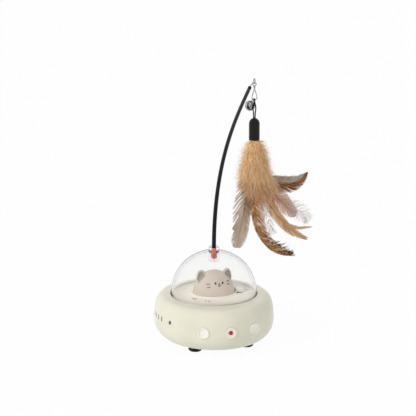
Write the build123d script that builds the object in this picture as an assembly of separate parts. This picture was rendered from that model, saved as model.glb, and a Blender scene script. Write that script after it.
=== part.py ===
from build123d import *
import os
from math import acos, asin, cos, degrees, pi, radians, sin, sqrt, tan

# A battery-driven toy for cats, in millimetres. Z is up, the floor is at z = 0, and the
# laser side faces -Y. An oval bun-shaped housing stands on four rubber feet. A geared motor
# inside it turns a platform with a kitten's head and a clear dome. A springy wand stands in
# a socket on top of the dome and leans out over the front, with a wire eye, a snap link, a
# bell and a feather lure at its end.

# Housing
BODY_WIDTH = 110.0
BODY_DEPTH = 115.0
BODY_BOTTOM = 6.0
BODY_TOP = 46.0
WIDEST_Z = 21.5
BASE_RADIUS = 43.0
LIP_RADIUS = 41.2
LOWER_FULLNESS = 0.45
UPPER_FULLNESS = 0.81
WALL = 2.2
COVER_GAP = 0.3

# Rubber feet and cover
FOOT_DIAMETER = 12.8
FOOT_FLAT = 8.0
FOOT_INSET = 5.9
FOOT_STEM = 4.6
COVER_THICKNESS = 2.2
SCREW_SHANK = 2.4
SCREW_HEAD = 4.6
SCREW_HEAD_HEIGHT = 1.4
SCREW_BITE = 6.0
BOSS_RADIUS = 3.1
SIDE_BOSS_INSET = 3.0
SIDE_BOSS_Y = -4.0
FRONT_BOSS_GAP = 3.0
REAR_BOSS_GAP = 5.4

# Well, deck and turntable
WELL_GAP = 0.8
DECK_TOP = 37.0
BUSH_FLANGE = 0.8
BUSH_OUTER = 9.0
BUSH_FLANGE_RADIUS = 6.0
SHAFT_DIAMETER = 5.0
RUNNING_GAP = 0.06
LIFT_GAP = 0.1
DISC_TOP = 46.4
FLANGE_TOP = 45.2
FLANGE_THICKNESS = 2.2
SKIRT_BOTTOM = 39.6
SKIRT_WALL = 1.6
HUB_RADIUS = 7.0
PLATFORM_GAP = 0.25
LIP_WIDTH = 1.8
LIP_RISE = 0.9
DISH_DEPTH = 0.5

# Clear dome and its wand socket
DOME_RADIUS = 39.4
DOME_WALL = 1.7
DOME_CENTRE = 47.0
SOCKET_OUTER = 9.7
SOCKET_TOP = 90.3
SOCKET_BOTTOM = 76.7
SOCKET_FLOOR = 2.2
SOCKET_BORE = 5.8

# Kitten's head
HEAD_WIDTH = 39.0
HEAD_DEPTH = 33.0
HEAD_HEIGHT = 21.4
HEAD_SHOULDER = 3.0
EAR_X = 12.2
EAR_WIDTH = 9.6
EAR_THICK = 6.0
EAR_TOP = 68.9
EAR_TILT = 20.0
TAB_LENGTH = 8.6
TAB_WIDTH = 7.4
TAB_HEIGHT = 3.4
TAB_ROUNDING = 0.8
POCKET_DEPTH = 0.9

# Round ports on the front
PORT_DIAMETER = 10.2
PORT_PROUD = 1.1
PORT_DISH = 0.9
PORT_RIM = 1.0
PORT_SPACING = 25.0
PORT_Z = 25.5
PORT_STEM = 6.4
LENS_DIAMETER = 4.0
LENS_PROUD = 0.5
LENS_ROUNDING = 0.45
LASER_DIAMETER = 6.0
LASER_LENGTH = 11.0

# Wand and its wire eye
PLUG_GAP = 0.05
PLUG_STEM = 4.2
PLUG_BULB = 6.0
PLUG_RECESS = 0.7
WAND_ROOT = 3.9
WAND_TIP = 3.1
WAND_SPIGOT = 2.6
SPIGOT_LENGTH = 7.0
WAND_LENGTH = 218.5
WAND_TIP_ANGLE = 49.3
EYE_WIRE = 0.9
EYE_RADIUS = 2.2
EYE_REACH = 17.0
EYE_BITE = 5.0
EYE_DROOP = 9.0

# Snap link, bell and lure
SNAP_WIRE = 0.8
SNAP_RING = 1.5
SNAP_NECK = 2.0
SNAP_LENGTH = 15.4
SNAP_BOW = 2.3
HANG_GAP = 0.1
BELL_RADIUS = 4.5
BELL_WALL = 0.5
BELL_SLOT = 0.9
BELL_BRIM = 0.6
STAPLE_WIRE = 0.35
BELL_HOOK_X = -1.2
BELL_GAP = 0.35
BELL_REACH = 8.1
BELL_LEAN = 38.0
BELL_SIDE = 9.0
PELLET_RADIUS = 1.4
PELLET_GAP = 0.05
CORD_DIAMETER = 1.1
CAP_DIAMETER = 9.4
CAP_LENGTH = 18.8
CAP_DROP = 16.2
CAP_BORE = 7.0
CAP_ROUNDING = 0.35
QUILL_SEAT = 1.5
QUILL = 1.1
QUILL_RING = 2.1
VANE_THICKNESS = 1.2
VANE_BOW = 0.6

# Gear train: the motor's pinion, a double idler and the platform's wheel
COARSE = 0.8
FINE = 0.6
WHEEL_TEETH = 45
IDLER_SMALL_TEETH = 12
IDLER_LARGE_TEETH = 40
PINION_TEETH = 10
PRESSURE_ANGLE = 20.0
ADDENDUM = 0.9
DEDENDUM = 1.25
BACKLASH = 0.16
WHEEL_Z = 29.6
WHEEL_THICKNESS = 3.4
IDLER_Z = 26.6
IDLER_LARGE_THICKNESS = 2.4
IDLER_AZIMUTH = 155.0
MOTOR_AZIMUTH = 45.0
AXLE_DIAMETER = 3.0
PLATE_TOP = 26.0
PLATE_THICKNESS = 2.0
MOTOR_DIAMETER = 24.2
MOTOR_HEIGHT = 12.4
MOTOR_SHAFT = 2.0
MOTOR_ROUNDING = 1.2
MOTOR_SCREW_BITE = 1.0
MOTOR_SCREW_HEAD = 0.4
SHAFT_BITE = 2.0

# Electrics
CELL_DIAMETER = 14.2
CELL_LENGTH = 50.0
CELL_Y = -20.0
CELL_CLEARANCE = 0.4
CELL_CHAMFER = 0.6
BOARD_WIDTH = 34.0
BOARD_HEIGHT = 17.0
BOARD_THICKNESS = 1.6
BOARD_INSET = 15.0
BOARD_Z = 10.5
USB_WIDTH = 8.9
USB_HEIGHT = 3.2
USB_LENGTH = 8.8
USB_WALL = 0.3
USB_BACK = 1.0
USB_TONGUE_WIDTH = 6.3
USB_TONGUE_THICKNESS = 0.7
USB_TONGUE_SETBACK = 1.2
USB_Z = 17.5
BUTTON_X = 11.5
BUTTON_DIAMETER = 7.0
BUTTON_PROUD = 1.2
BUTTON_GAP = 0.1
BUTTON_TRAVEL = 0.8
BUTTON_ROUNDING = 0.6
SWITCH_SIDE = 6.0
SWITCH_HEIGHT = 3.5
SWITCH_PLUNGER = 3.4
SWITCH_REACH = 5.0

# Sizes that follow from the values above
DECK_UNDER = DECK_TOP - WALL
WELL_RADIUS = DOME_RADIUS + WELL_GAP
COVER_RADIUS = BASE_RADIUS - WALL - COVER_GAP
COVER_TOP = BODY_BOTTOM + COVER_THICKNESS
FOOT_RING_RADIUS = COVER_RADIUS - FOOT_INSET
SIDE_BOSS_X = COVER_RADIUS - SIDE_BOSS_INSET
BARREL_END = BODY_DEPTH / 2 - 2 * WALL - LASER_LENGTH
FRONT_BOSS_Y = FRONT_BOSS_GAP + BOSS_RADIUS - BARREL_END
BOARD_Y = BODY_DEPTH / 2 - BOARD_INSET
REAR_BOSS_Y = BOARD_Y - REAR_BOSS_GAP - BOSS_RADIUS
BUSH_TOP = DECK_TOP + BUSH_FLANGE
DISC_BOTTOM = BUSH_TOP + LIFT_GAP
DOME_INNER = DOME_RADIUS - DOME_WALL
OVAL = BODY_DEPTH / BODY_WIDTH
FOOT_AZIMUTHS = {"front_left": 225, "front_right": 315, "rear_left": 135, "rear_right": 45}
BOSS_PLACES = [
    (SIDE_BOSS_X, SIDE_BOSS_Y),
    (-SIDE_BOSS_X, SIDE_BOSS_Y),
    (0, FRONT_BOSS_Y),
    (0, REAR_BOSS_Y),
]
STAGE_ONE = FINE * (IDLER_LARGE_TEETH + PINION_TEETH) / 2
STAGE_TWO = COARSE * (WHEEL_TEETH + IDLER_SMALL_TEETH) / 2
IDLER_X = STAGE_TWO * cos(radians(IDLER_AZIMUTH))
IDLER_Y = STAGE_TWO * sin(radians(IDLER_AZIMUTH))
MOTOR_X = IDLER_X + STAGE_ONE * cos(radians(MOTOR_AZIMUTH))
MOTOR_Y = IDLER_Y + STAGE_ONE * sin(radians(MOTOR_AZIMUTH))
PLATE_BOTTOM = PLATE_TOP - PLATE_THICKNESS
POST_RADIUS = 2.3
POST_PLACES = [(-29.0, 24.5), (15.0, 22.0), (-17.0, -17.0)]

os.makedirs("parts", exist_ok=True)


def write(node, shape):
    """Writes one node's STEP file."""
    export_step(shape, f"parts/{node}.step")


def rod(radius, low, high, x=0.0, y=0.0):
    """Upright cylinder between two heights."""
    return Pos(x, y, low) * extrude(Circle(radius), high - low)


def oval_slab(radius, low, high):
    """Upright slab with the housing's oval outline."""
    return Pos(0, 0, low) * extrude(Ellipse(radius, radius * OVAL), high - low)


def bun(inset):
    """Solid inside the housing's outline, drawn in by the inset, as a loft through ovals."""
    base, wide, lip = BASE_RADIUS - inset, BODY_WIDTH / 2 - inset, LIP_RADIUS - inset
    low, top = BODY_BOTTOM + inset, BODY_TOP - inset
    under = Bezier(
        (base, low),
        (base + LOWER_FULLNESS * (wide - base), low),
        (wide, WIDEST_Z - LOWER_FULLNESS * (WIDEST_Z - low)),
        (wide, WIDEST_Z),
    )
    over = Bezier(
        (wide, WIDEST_Z),
        (wide, WIDEST_Z + UPPER_FULLNESS * (top - WIDEST_Z)),
        (lip + UPPER_FULLNESS * (wide - lip), top),
        (lip, top),
    )
    stations = [under @ (step / 4) for step in range(5)] + [over @ (step / 5) for step in range(1, 6)]
    return loft([Pos(0, 0, point.Y) * Ellipse(point.X, point.X * OVAL) for point in stations])


def wall_radius(azimuth):
    """Distance from the axis to the housing's widest outline, at an azimuth from the front."""
    across = sin(radians(azimuth)) / (BODY_WIDTH / 2)
    along = cos(radians(azimuth)) / (BODY_DEPTH / 2)
    return 1 / sqrt(across**2 + along**2)


def port_plane(azimuth):
    """Plane on the housing's wall at port height, facing outward."""
    out = (sin(radians(azimuth)), -cos(radians(azimuth)), 0)
    reach = wall_radius(azimuth)
    return Plane(
        origin=(out[0] * reach, out[1] * reach, PORT_Z),
        x_dir=(cos(radians(azimuth)), sin(radians(azimuth)), 0),
        z_dir=out,
    )


def rear_plane(x, z):
    """Plane on the housing's rear wall at a place across and a height, facing backward."""
    y = BODY_DEPTH / 2 * sqrt(1 - (2 * x / BODY_WIDTH) ** 2)
    return Plane(origin=(x, y, z), x_dir=(-1, 0, 0), z_dir=(0, 1, 0))


def gear(teeth, module, low, thickness, tooth_at, x=0.0, y=0.0):
    """Spur gear with involute teeth, one of them centred on the azimuth tooth_at."""
    pitch = module * teeth / 2
    base = pitch * cos(radians(PRESSURE_ANGLE))
    tip = pitch + ADDENDUM * module
    root = pitch - DEDENDUM * module
    angle = radians(PRESSURE_ANGLE)
    half = (pi * module - BACKLASH * 2) / 4 / pitch + tan(angle) - angle
    foot = max(root, base)
    radii = [foot, (foot + tip) / 2, tip] if base < root else [root, base, (base + tip) / 2, tip]
    flank = []
    for radius in radii:
        slope = acos(min(1, base / radius))
        flank.append((radius, half - tan(slope) + slope))
    outline = []
    for tooth in range(teeth):
        middle = radians(tooth_at) + 2 * pi * tooth / teeth
        rise = [(radius, middle - spread) for radius, spread in flank]
        fall = [(radius, middle + spread) for radius, spread in reversed(flank)]
        outline += [(r * cos(a), r * sin(a)) for r, a in rise + fall]
    return Pos(x, y, low) * extrude(make_face(Polyline(*outline, close=True)), thickness)


def make_main_shell():
    """Housing with the turntable's well, its deck, screw bosses and plate posts."""
    well_block = rod(WELL_RADIUS + WALL, DECK_UNDER, BODY_TOP)
    mouth = oval_slab(COVER_RADIUS + COVER_GAP, BODY_BOTTOM, COVER_TOP + WALL / 2)
    hollow = bun(WALL) - well_block + mouth
    shell = bun(0) - hollow - rod(WELL_RADIUS, DECK_TOP, BODY_TOP + WALL)
    shell -= rod(BUSH_OUTER / 2, DECK_UNDER, DECK_TOP)
    for x, y in BOSS_PLACES:
        shell += rod(BOSS_RADIUS, COVER_TOP, DECK_UNDER, x, y)
        shell -= rod(SCREW_SHANK / 2, COVER_TOP, COVER_TOP + SCREW_BITE, x, y)
    for x, y in POST_PLACES:
        shell += rod(POST_RADIUS, PLATE_TOP, DECK_UNDER, x, y)
        shell -= rod(SCREW_SHANK / 2, PLATE_TOP, PLATE_TOP + SCREW_BITE, x, y)
    for azimuth in (-PORT_SPACING, 0, PORT_SPACING):
        seat = Pos(0, 0, -PORT_PROUD) * extrude(Circle(PORT_DIAMETER / 2), 3 * WALL)
        shell -= port_plane(azimuth) * (seat + extrude(Circle(PORT_STEM / 2), 3 * WALL, both=True))
    shell -= rear_plane(0, USB_Z) * extrude(SlotOverall(USB_WIDTH, USB_HEIGHT), 8 * WALL, both=True)
    shell -= rear_plane(BUTTON_X, USB_Z) * extrude(Circle(BUTTON_DIAMETER / 2), 5 * WALL, both=True)
    return shell


def make_bottom_cover():
    """Oval plate that closes the housing, with foot holes, screw seats and the cell's cradle."""
    cover = oval_slab(COVER_RADIUS, BODY_BOTTOM, COVER_TOP)
    cell = Plane.YZ * Pos(CELL_Y, COVER_TOP + CELL_CLEARANCE + CELL_DIAMETER / 2)
    rib_top = COVER_TOP + CELL_DIAMETER / 2
    for x in (-CELL_LENGTH / 3, CELL_LENGTH / 3):
        rib = Box(WALL, CELL_DIAMETER + 2 * WALL, rib_top - COVER_TOP)
        cover += Pos(x, CELL_Y, (COVER_TOP + rib_top) / 2) * rib
    cover -= cell * extrude(Circle(CELL_DIAMETER / 2 + CELL_CLEARANCE / 2), CELL_LENGTH, both=True)
    for azimuth in FOOT_AZIMUTHS.values():
        x, y = foot_place(azimuth)
        cover -= rod(FOOT_STEM / 2, BODY_BOTTOM, COVER_TOP, x, y)
    for x, y in BOSS_PLACES:
        cover -= rod(SCREW_SHANK / 2, BODY_BOTTOM, COVER_TOP, x, y)
        cover -= rod(SCREW_HEAD / 2, BODY_BOTTOM, BODY_BOTTOM + SCREW_HEAD_HEIGHT, x, y)
    return cover


def foot_place(azimuth):
    """Centre of one rubber foot."""
    return FOOT_RING_RADIUS * cos(radians(azimuth)), FOOT_RING_RADIUS * sin(radians(azimuth))


def make_foot(azimuth):
    """Rubber button with a rounded edge and a stem that plugs into the cover."""
    x, y = foot_place(azimuth)
    radius, flat = FOOT_DIAMETER / 2, FOOT_FLAT / 2
    edge = radius - flat
    profile = Polyline((flat, 0), (0, 0), (0, BODY_BOTTOM), (radius, BODY_BOTTOM), (radius, edge))
    profile += JernArc((flat, 0), (1, 0), edge, 90)
    button = revolve(Plane.XZ * make_face(profile), Axis.Z)
    return Pos(x, y, 0) * (button + rod(FOOT_STEM / 2, BODY_BOTTOM, COVER_TOP))


def make_screws(places, head_low, head_height, bite):
    """Screws with flat heads, driven upward, one solid at each place."""
    screws = []
    seat = head_low + head_height
    for x, y in places:
        head = rod(SCREW_HEAD / 2, head_low, seat, x, y)
        screws.append(head + rod(SCREW_SHANK / 2, seat, seat + bite, x, y))
    return Compound(children=screws)


def make_deck_bush():
    """Flanged bearing bush in the deck."""
    bush = rod(BUSH_OUTER / 2, DECK_UNDER - BUSH_FLANGE, DECK_TOP)
    bush += rod(BUSH_FLANGE_RADIUS, DECK_TOP, BUSH_TOP)
    return bush - rod(SHAFT_DIAMETER / 2 + RUNNING_GAP, DECK_UNDER - BUSH_FLANGE, BUSH_TOP)


def make_gear_plate():
    """Plate under the gears that carries the motor and the idler's axle."""
    pads = [
        Pos(MOTOR_X, MOTOR_Y) * Circle(MOTOR_DIAMETER / 2),
        Pos(IDLER_X, IDLER_Y) * Circle(2 * AXLE_DIAMETER),
    ]
    pads += [Pos(x, y) * Circle(POST_RADIUS + 1) for x, y in POST_PLACES]
    edges = [edge for pad in pads for edge in pad.edges()]
    plate = Pos(0, 0, PLATE_BOTTOM) * extrude(make_hull(edges), PLATE_THICKNESS)
    plate -= rod(AXLE_DIAMETER / 2, PLATE_BOTTOM, PLATE_TOP, IDLER_X, IDLER_Y)
    plate -= rod(2 * MOTOR_SHAFT, PLATE_BOTTOM, PLATE_TOP, MOTOR_X, MOTOR_Y)
    for x, y in POST_PLACES + motor_screw_places():
        plate -= rod(SCREW_SHANK / 2, PLATE_BOTTOM, PLATE_TOP, x, y)
    return plate


def motor_screw_places():
    """The two fixing holes of the motor's front face."""
    offset = MOTOR_DIAMETER / 3
    return [(MOTOR_X - offset, MOTOR_Y), (MOTOR_X + offset, MOTOR_Y)]


def make_motor_screws():
    """Short screws from the plate's top into the motor's face."""
    screws = []
    for x, y in motor_screw_places():
        shank = rod(SCREW_SHANK / 2, PLATE_BOTTOM - MOTOR_SCREW_BITE, PLATE_TOP, x, y)
        screws.append(shank + rod(SCREW_HEAD / 2, PLATE_TOP, PLATE_TOP + MOTOR_SCREW_HEAD, x, y))
    return Compound(children=screws)


def make_motor_can():
    """Flat round motor with its front boss."""
    can = rod(MOTOR_DIAMETER / 2, PLATE_BOTTOM - MOTOR_HEIGHT, PLATE_BOTTOM, MOTOR_X, MOTOR_Y)
    can = fillet(can.edges().sort_by(Axis.Z)[0], MOTOR_ROUNDING)
    can += rod(1.5 * MOTOR_SHAFT, PLATE_BOTTOM, PLATE_TOP, MOTOR_X, MOTOR_Y)
    can -= rod(MOTOR_SHAFT / 2 + RUNNING_GAP, PLATE_BOTTOM - SHAFT_BITE, PLATE_TOP, MOTOR_X, MOTOR_Y)
    for x, y in motor_screw_places():
        can -= rod(SCREW_SHANK / 2, PLATE_BOTTOM - MOTOR_SCREW_BITE, PLATE_BOTTOM, x, y)
    return can


def gear_phases():
    """Azimuth of one tooth of the wheel, the small and large idler gears and the pinion."""
    wheel = IDLER_AZIMUTH
    small = IDLER_AZIMUTH + 180 + 180 / IDLER_SMALL_TEETH
    large = MOTOR_AZIMUTH
    pinion = MOTOR_AZIMUTH + 180 + 180 / PINION_TEETH
    return wheel, small, large, pinion


def make_driven_gear():
    """Wheel on the platform's shaft."""
    wheel = gear(WHEEL_TEETH, COARSE, WHEEL_Z, WHEEL_THICKNESS, gear_phases()[0])
    return wheel - rod(SHAFT_DIAMETER / 2, WHEEL_Z, WHEEL_Z + WHEEL_THICKNESS)


def make_idler_gear():
    """Double gear: the large one meets the pinion and the small one drives the wheel."""
    _, small, large, _ = gear_phases()
    step = IDLER_Z + IDLER_LARGE_THICKNESS
    idler = gear(IDLER_LARGE_TEETH, FINE, IDLER_Z, IDLER_LARGE_THICKNESS, large, IDLER_X, IDLER_Y)
    tall = WHEEL_Z + WHEEL_THICKNESS - step
    idler += gear(IDLER_SMALL_TEETH, COARSE, step, tall, small, IDLER_X, IDLER_Y)
    return idler - rod(AXLE_DIAMETER / 2 + RUNNING_GAP, IDLER_Z, step + tall, IDLER_X, IDLER_Y)


def make_motor_pinion():
    """Small gear on the motor's shaft."""
    pinion = gear(PINION_TEETH, FINE, IDLER_Z, IDLER_LARGE_THICKNESS, gear_phases()[3], MOTOR_X, MOTOR_Y)
    return pinion - rod(MOTOR_SHAFT / 2, IDLER_Z, IDLER_Z + IDLER_LARGE_THICKNESS, MOTOR_X, MOTOR_Y)


def make_motor_shaft():
    """Steel shaft from the motor through the pinion."""
    low = PLATE_BOTTOM - SHAFT_BITE + LIFT_GAP
    return rod(MOTOR_SHAFT / 2, low, IDLER_Z + IDLER_LARGE_THICKNESS, MOTOR_X, MOTOR_Y)


def make_turntable_disc():
    """Platform with its hub, stiffening skirt, dished top, ring round the head and pocket."""
    rim = DOME_RADIUS
    plate_low = FLANGE_TOP - FLANGE_THICKNESS
    platform = DOME_INNER - PLATFORM_GAP
    ring_in = HEAD_WIDTH / 2 + PLATFORM_GAP
    ring_out = ring_in + LIP_WIDTH
    disc = rod(rim, plate_low, FLANGE_TOP) + rod(HUB_RADIUS, DISC_BOTTOM, plate_low)
    disc += rod(rim, SKIRT_BOTTOM, plate_low) - rod(rim - SKIRT_WALL, SKIRT_BOTTOM, plate_low)
    disc += rod(platform, FLANGE_TOP, DISC_TOP)
    dish = Polyline(
        (ring_out, DISC_TOP),
        (platform - LIP_WIDTH, DISC_TOP),
        ((ring_out + platform) / 2, DISC_TOP - DISH_DEPTH),
        close=True,
    )
    disc -= revolve(Plane.XZ * make_face(dish), Axis.Z)
    squeeze = HEAD_DEPTH / HEAD_WIDTH
    lip = Ellipse(ring_out, ring_out * squeeze) - Ellipse(ring_in, ring_in * squeeze)
    disc += Pos(0, 0, DISC_TOP - DISH_DEPTH) * extrude(lip, LIP_RISE + DISH_DEPTH)
    disc -= make_tab_pocket()
    return disc - rod(SHAFT_DIAMETER / 2, DISC_BOTTOM, FLANGE_TOP - FLANGE_THICKNESS / 2)


def make_tab_pocket():
    """Wedge-shaped pocket beside the head that holds the tab and runs out toward the rim."""
    near = HEAD_WIDTH / 2 - PLATFORM_GAP
    far = near + TAB_LENGTH + 1
    tip = DOME_INNER - 2 * LIP_WIDTH
    half = TAB_WIDTH / 2 + PLATFORM_GAP
    wedge = Polyline((near, -half), (far, -half), (tip, 0), (far, half), (near, half), close=True)
    return Pos(0, 0, DISC_TOP - POCKET_DEPTH) * extrude(make_face(wedge), 4 * POCKET_DEPTH)


def make_head_tab():
    """Small tab beside the head, seated in the platform's pocket."""
    near = HEAD_WIDTH / 2 + PLATFORM_GAP
    low = DISC_TOP - POCKET_DEPTH
    tab = Pos(near + TAB_LENGTH / 2, 0, low + TAB_HEIGHT / 2) * Box(TAB_LENGTH, TAB_WIDTH, TAB_HEIGHT)
    return fillet(tab.edges().filter_by(Axis.Z), TAB_ROUNDING)


def make_kitten_head():
    """Rounded loaf of a head with two ears."""
    half = HEAD_WIDTH / 2
    top = DISC_TOP + HEAD_HEIGHT
    flank = Bezier(
        (half, DISC_TOP),
        (half, DISC_TOP + HEAD_SHOULDER),
        (half - HEAD_SHOULDER, top),
        (0, top),
    )
    outline = flank + Polyline((0, top), (0, DISC_TOP), (half, DISC_TOP))
    head = revolve(Plane.XZ * make_face(outline), Axis.Z)
    head = scale(head, by=(1, HEAD_DEPTH / HEAD_WIDTH, 1))
    for side in (-1, 1):
        head += make_ear(side)
    return head


def make_ear(side):
    """One ear: a rounded cone that leans outward."""
    foot = EAR_TOP - 2 * EAR_WIDTH
    ear = loft(
        [
            Pos(0, 0, foot) * Ellipse(EAR_WIDTH, EAR_THICK),
            Pos(0, 0, EAR_TOP - EAR_WIDTH * 0.8) * Ellipse(EAR_WIDTH * 0.5, EAR_THICK * 0.55),
            Pos(0, 0, EAR_TOP) * Ellipse(EAR_WIDTH * 0.12, EAR_THICK * 0.16),
        ]
    )
    lean = Pos(0, 0, EAR_TOP) * Rot(0, side * EAR_TILT, 0) * Pos(0, 0, -EAR_TOP)
    return Pos(side * EAR_X, 0, 0) * lean * ear


def make_dome():
    """Clear hemisphere with a short straight rim and a closed socket through its top."""
    outside = [(DOME_RADIUS, DOME_CENTRE), (DOME_RADIUS, FLANGE_TOP)]
    inside = [(DOME_INNER, FLANGE_TOP), (DOME_INNER, DOME_CENTRE)]
    rim = Polyline(*outside, *inside)
    outer = CenterArc((0, DOME_CENTRE), DOME_RADIUS, 0, 90)
    inner = CenterArc((0, DOME_CENTRE), DOME_INNER, 0, 90)
    crown = Line((0, DOME_CENTRE + DOME_INNER), (0, DOME_CENTRE + DOME_RADIUS))
    dome = revolve(Plane.XZ * make_face(rim + outer + inner + crown), Axis.Z)
    dome += rod(SOCKET_OUTER / 2, SOCKET_BOTTOM, SOCKET_TOP)
    return dome - rod(SOCKET_BORE / 2, SOCKET_BOTTOM + SOCKET_FLOOR, SOCKET_TOP)


def make_port(azimuth, bore):
    """Round port with a dished face and a stem through the wall, bored for the laser or plain."""
    radius = PORT_DIAMETER / 2
    face = extrude(Circle(radius), PORT_PROUD)
    seat = extrude(Circle(radius), -PORT_PROUD)
    dish = Pos(0, 0, PORT_PROUD - PORT_DISH) * extrude(Circle(radius - PORT_RIM), PORT_DISH)
    port = face - dish + extrude(Circle(PORT_STEM / 2), -2 * WALL)
    if bore:
        port -= extrude(Circle(LENS_DIAMETER / 2), 3 * WALL, both=True)
    return port_plane(azimuth) * port


def make_laser_lens():
    """Red lens in the middle port."""
    low, high = -WALL, PORT_PROUD - PORT_DISH + LENS_PROUD
    lens = Pos(0, 0, low) * extrude(Circle(LENS_DIAMETER / 2), high - low)
    lens = fillet(lens.edges().sort_by(Axis.Z)[-1], LENS_ROUNDING)
    return port_plane(0) * lens


def make_laser_barrel():
    """Laser diode's brass barrel behind the middle port."""
    return port_plane(0) * Pos(0, 0, -2 * WALL) * extrude(Circle(LASER_DIAMETER / 2), -LASER_LENGTH)


def make_battery_cell():
    """Rechargeable cell lying in the cover's cradle."""
    centre = COVER_TOP + CELL_CLEARANCE + CELL_DIAMETER / 2 - CELL_CLEARANCE / 2
    cell = Plane.YZ * Pos(CELL_Y, centre) * extrude(Circle(CELL_DIAMETER / 2), CELL_LENGTH / 2, both=True)
    return chamfer(cell.edges().filter_by(GeomType.CIRCLE), CELL_CHAMFER)


def make_circuit_board():
    """Upright board behind the rear wall."""
    place = Pos(0, BOARD_Y + BOARD_THICKNESS / 2, BOARD_Z + BOARD_HEIGHT / 2)
    return place * Box(BOARD_WIDTH, BOARD_THICKNESS, BOARD_HEIGHT)


def make_usb_socket():
    """Charging socket on the board, its mouth in the rear wall."""
    start = BOARD_Y + BOARD_THICKNESS
    mouth = Plane(origin=(0, start, USB_Z), x_dir=(-1, 0, 0), z_dir=(0, 1, 0))
    shell = extrude(SlotOverall(USB_WIDTH, USB_HEIGHT), USB_LENGTH)
    inside = extrude(SlotOverall(USB_WIDTH - 2 * USB_WALL, USB_HEIGHT - 2 * USB_WALL), USB_LENGTH)
    tongue = extrude(Rectangle(USB_TONGUE_WIDTH, USB_TONGUE_THICKNESS), USB_LENGTH - USB_TONGUE_SETBACK)
    return mouth * (shell - Pos(0, 0, USB_BACK) * inside + tongue)


def make_tact_switch():
    """Small push switch on the board behind the power button."""
    start = BOARD_Y + BOARD_THICKNESS
    face = Plane(origin=(BUTTON_X, start, USB_Z), x_dir=(-1, 0, 0), z_dir=(0, 1, 0))
    case = extrude(Rectangle(SWITCH_SIDE, SWITCH_SIDE), SWITCH_HEIGHT)
    return face * (case + extrude(Circle(SWITCH_PLUNGER / 2), SWITCH_REACH))


def make_power_button():
    """Round button in the rear wall, in front of the push switch."""
    wall = rear_plane(BUTTON_X, USB_Z).origin.Y
    start = BOARD_Y + BOARD_THICKNESS + SWITCH_REACH + BUTTON_TRAVEL + LIFT_GAP
    face = Plane(origin=(BUTTON_X, start, USB_Z), x_dir=(-1, 0, 0), z_dir=(0, 1, 0))
    cap = extrude(Circle(BUTTON_DIAMETER / 2 - BUTTON_GAP), wall + BUTTON_PROUD - start)
    return face * fillet(cap.edges().sort_by(Axis.Z)[-1], BUTTON_ROUNDING)


PLUG_BOTTOM = SOCKET_BOTTOM + SOCKET_FLOOR + LIFT_GAP
PLUG_SHOULDER = PLUG_BOTTOM + PLUG_BULB
PLUG_TOP = SOCKET_TOP - PLUG_RECESS


def make_wand_plug():
    """Soft plug on the wand's foot: a rounded bulb in the socket and a slim neck."""
    radius = SOCKET_BORE / 2 - PLUG_GAP
    plug = rod(radius, PLUG_BOTTOM, PLUG_SHOULDER)
    plug = fillet(plug.edges().sort_by(Axis.Z)[0], radius * 0.7)
    plug += rod(PLUG_STEM / 2, PLUG_SHOULDER, PLUG_TOP)
    return plug - rod(WAND_SPIGOT / 2, PLUG_TOP - SPIGOT_LENGTH, PLUG_TOP)


def wand_curve(steps=12):
    """Points and leans of the wand, bent like a springy rod that carries a load at its tip.

    The lean from upright grows as t * (2 - t) of its value at the tip. Each entry holds the
    reach forward, the height and the lean in radians.
    """
    fine = 20
    reach, height = 0.0, PLUG_TOP
    stations = [(reach, height, 0.0)]
    for step in range(1, steps * fine + 1):
        t = (step - 0.5) / (steps * fine)
        lean = radians(WAND_TIP_ANGLE) * t * (2 - t)
        reach += sin(lean) * WAND_LENGTH / (steps * fine)
        height += cos(lean) * WAND_LENGTH / (steps * fine)
        if step % fine == 0:
            share = step / (steps * fine)
            stations.append((reach, height, radians(WAND_TIP_ANGLE) * share * (2 - share)))
    return stations


def lean_plane(reach, height, lean):
    """Plane across the wand at one station."""
    return Plane(origin=(0, -reach, height), x_dir=(1, 0, 0), z_dir=(0, -sin(lean), cos(lean)))


TIP_REACH, TIP_HEIGHT, TIP_LEAN = wand_curve()[-1]
STEM_LEAN = TIP_LEAN + radians(EYE_DROOP)
EYE_Y = -(TIP_REACH + EYE_REACH * sin(STEM_LEAN))
EYE_Z = TIP_HEIGHT + EYE_REACH * cos(STEM_LEAN)


def make_wand_rod():
    """Tapered springy rod with a spigot in the plug and a hole for the wire in its tip."""
    stations = wand_curve()
    last = len(stations) - 1
    sections = []
    for index, (reach, height, lean) in enumerate(stations):
        radius = (WAND_ROOT + (WAND_TIP - WAND_ROOT) * index / last) / 2
        sections.append(lean_plane(reach, height, lean) * Circle(radius))
    shaft = loft(sections)
    shaft += rod(WAND_SPIGOT / 2, PLUG_TOP - SPIGOT_LENGTH, PLUG_TOP)
    hole = lean_plane(TIP_REACH, TIP_HEIGHT, TIP_LEAN) * extrude(Circle(EYE_WIRE / 2), -EYE_BITE)
    return shaft - hole


def make_wire_eye():
    """Steel wire set in the wand's tip and bent to a closed ring."""
    lean = TIP_LEAN
    start = Vector(0, -TIP_REACH, TIP_HEIGHT) - Vector(0, -sin(lean), cos(lean)) * EYE_BITE
    tip = Vector(0, -TIP_REACH, TIP_HEIGHT)
    along = Vector(0, -sin(lean), cos(lean))
    centre = Vector(0, EYE_Y, EYE_Z)
    inward = (centre - tip).normalized()
    end = centre - inward * EYE_RADIUS
    path = Line(start, tip) + TangentArc(tip, end, tangent=along)
    stem = sweep(Plane(origin=start, z_dir=along) * Circle(EYE_WIRE / 2), path=path)
    ring = Pos(0, EYE_Y, EYE_Z) * Rot(0, 90, 0) * Torus(EYE_RADIUS, EYE_WIRE / 2)
    return stem + ring


SNAP_TOP = EYE_Z - EYE_RADIUS + EYE_WIRE / 2 + HANG_GAP + SNAP_WIRE / 2
SNAP_BOTTOM = SNAP_TOP - SNAP_LENGTH


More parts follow.
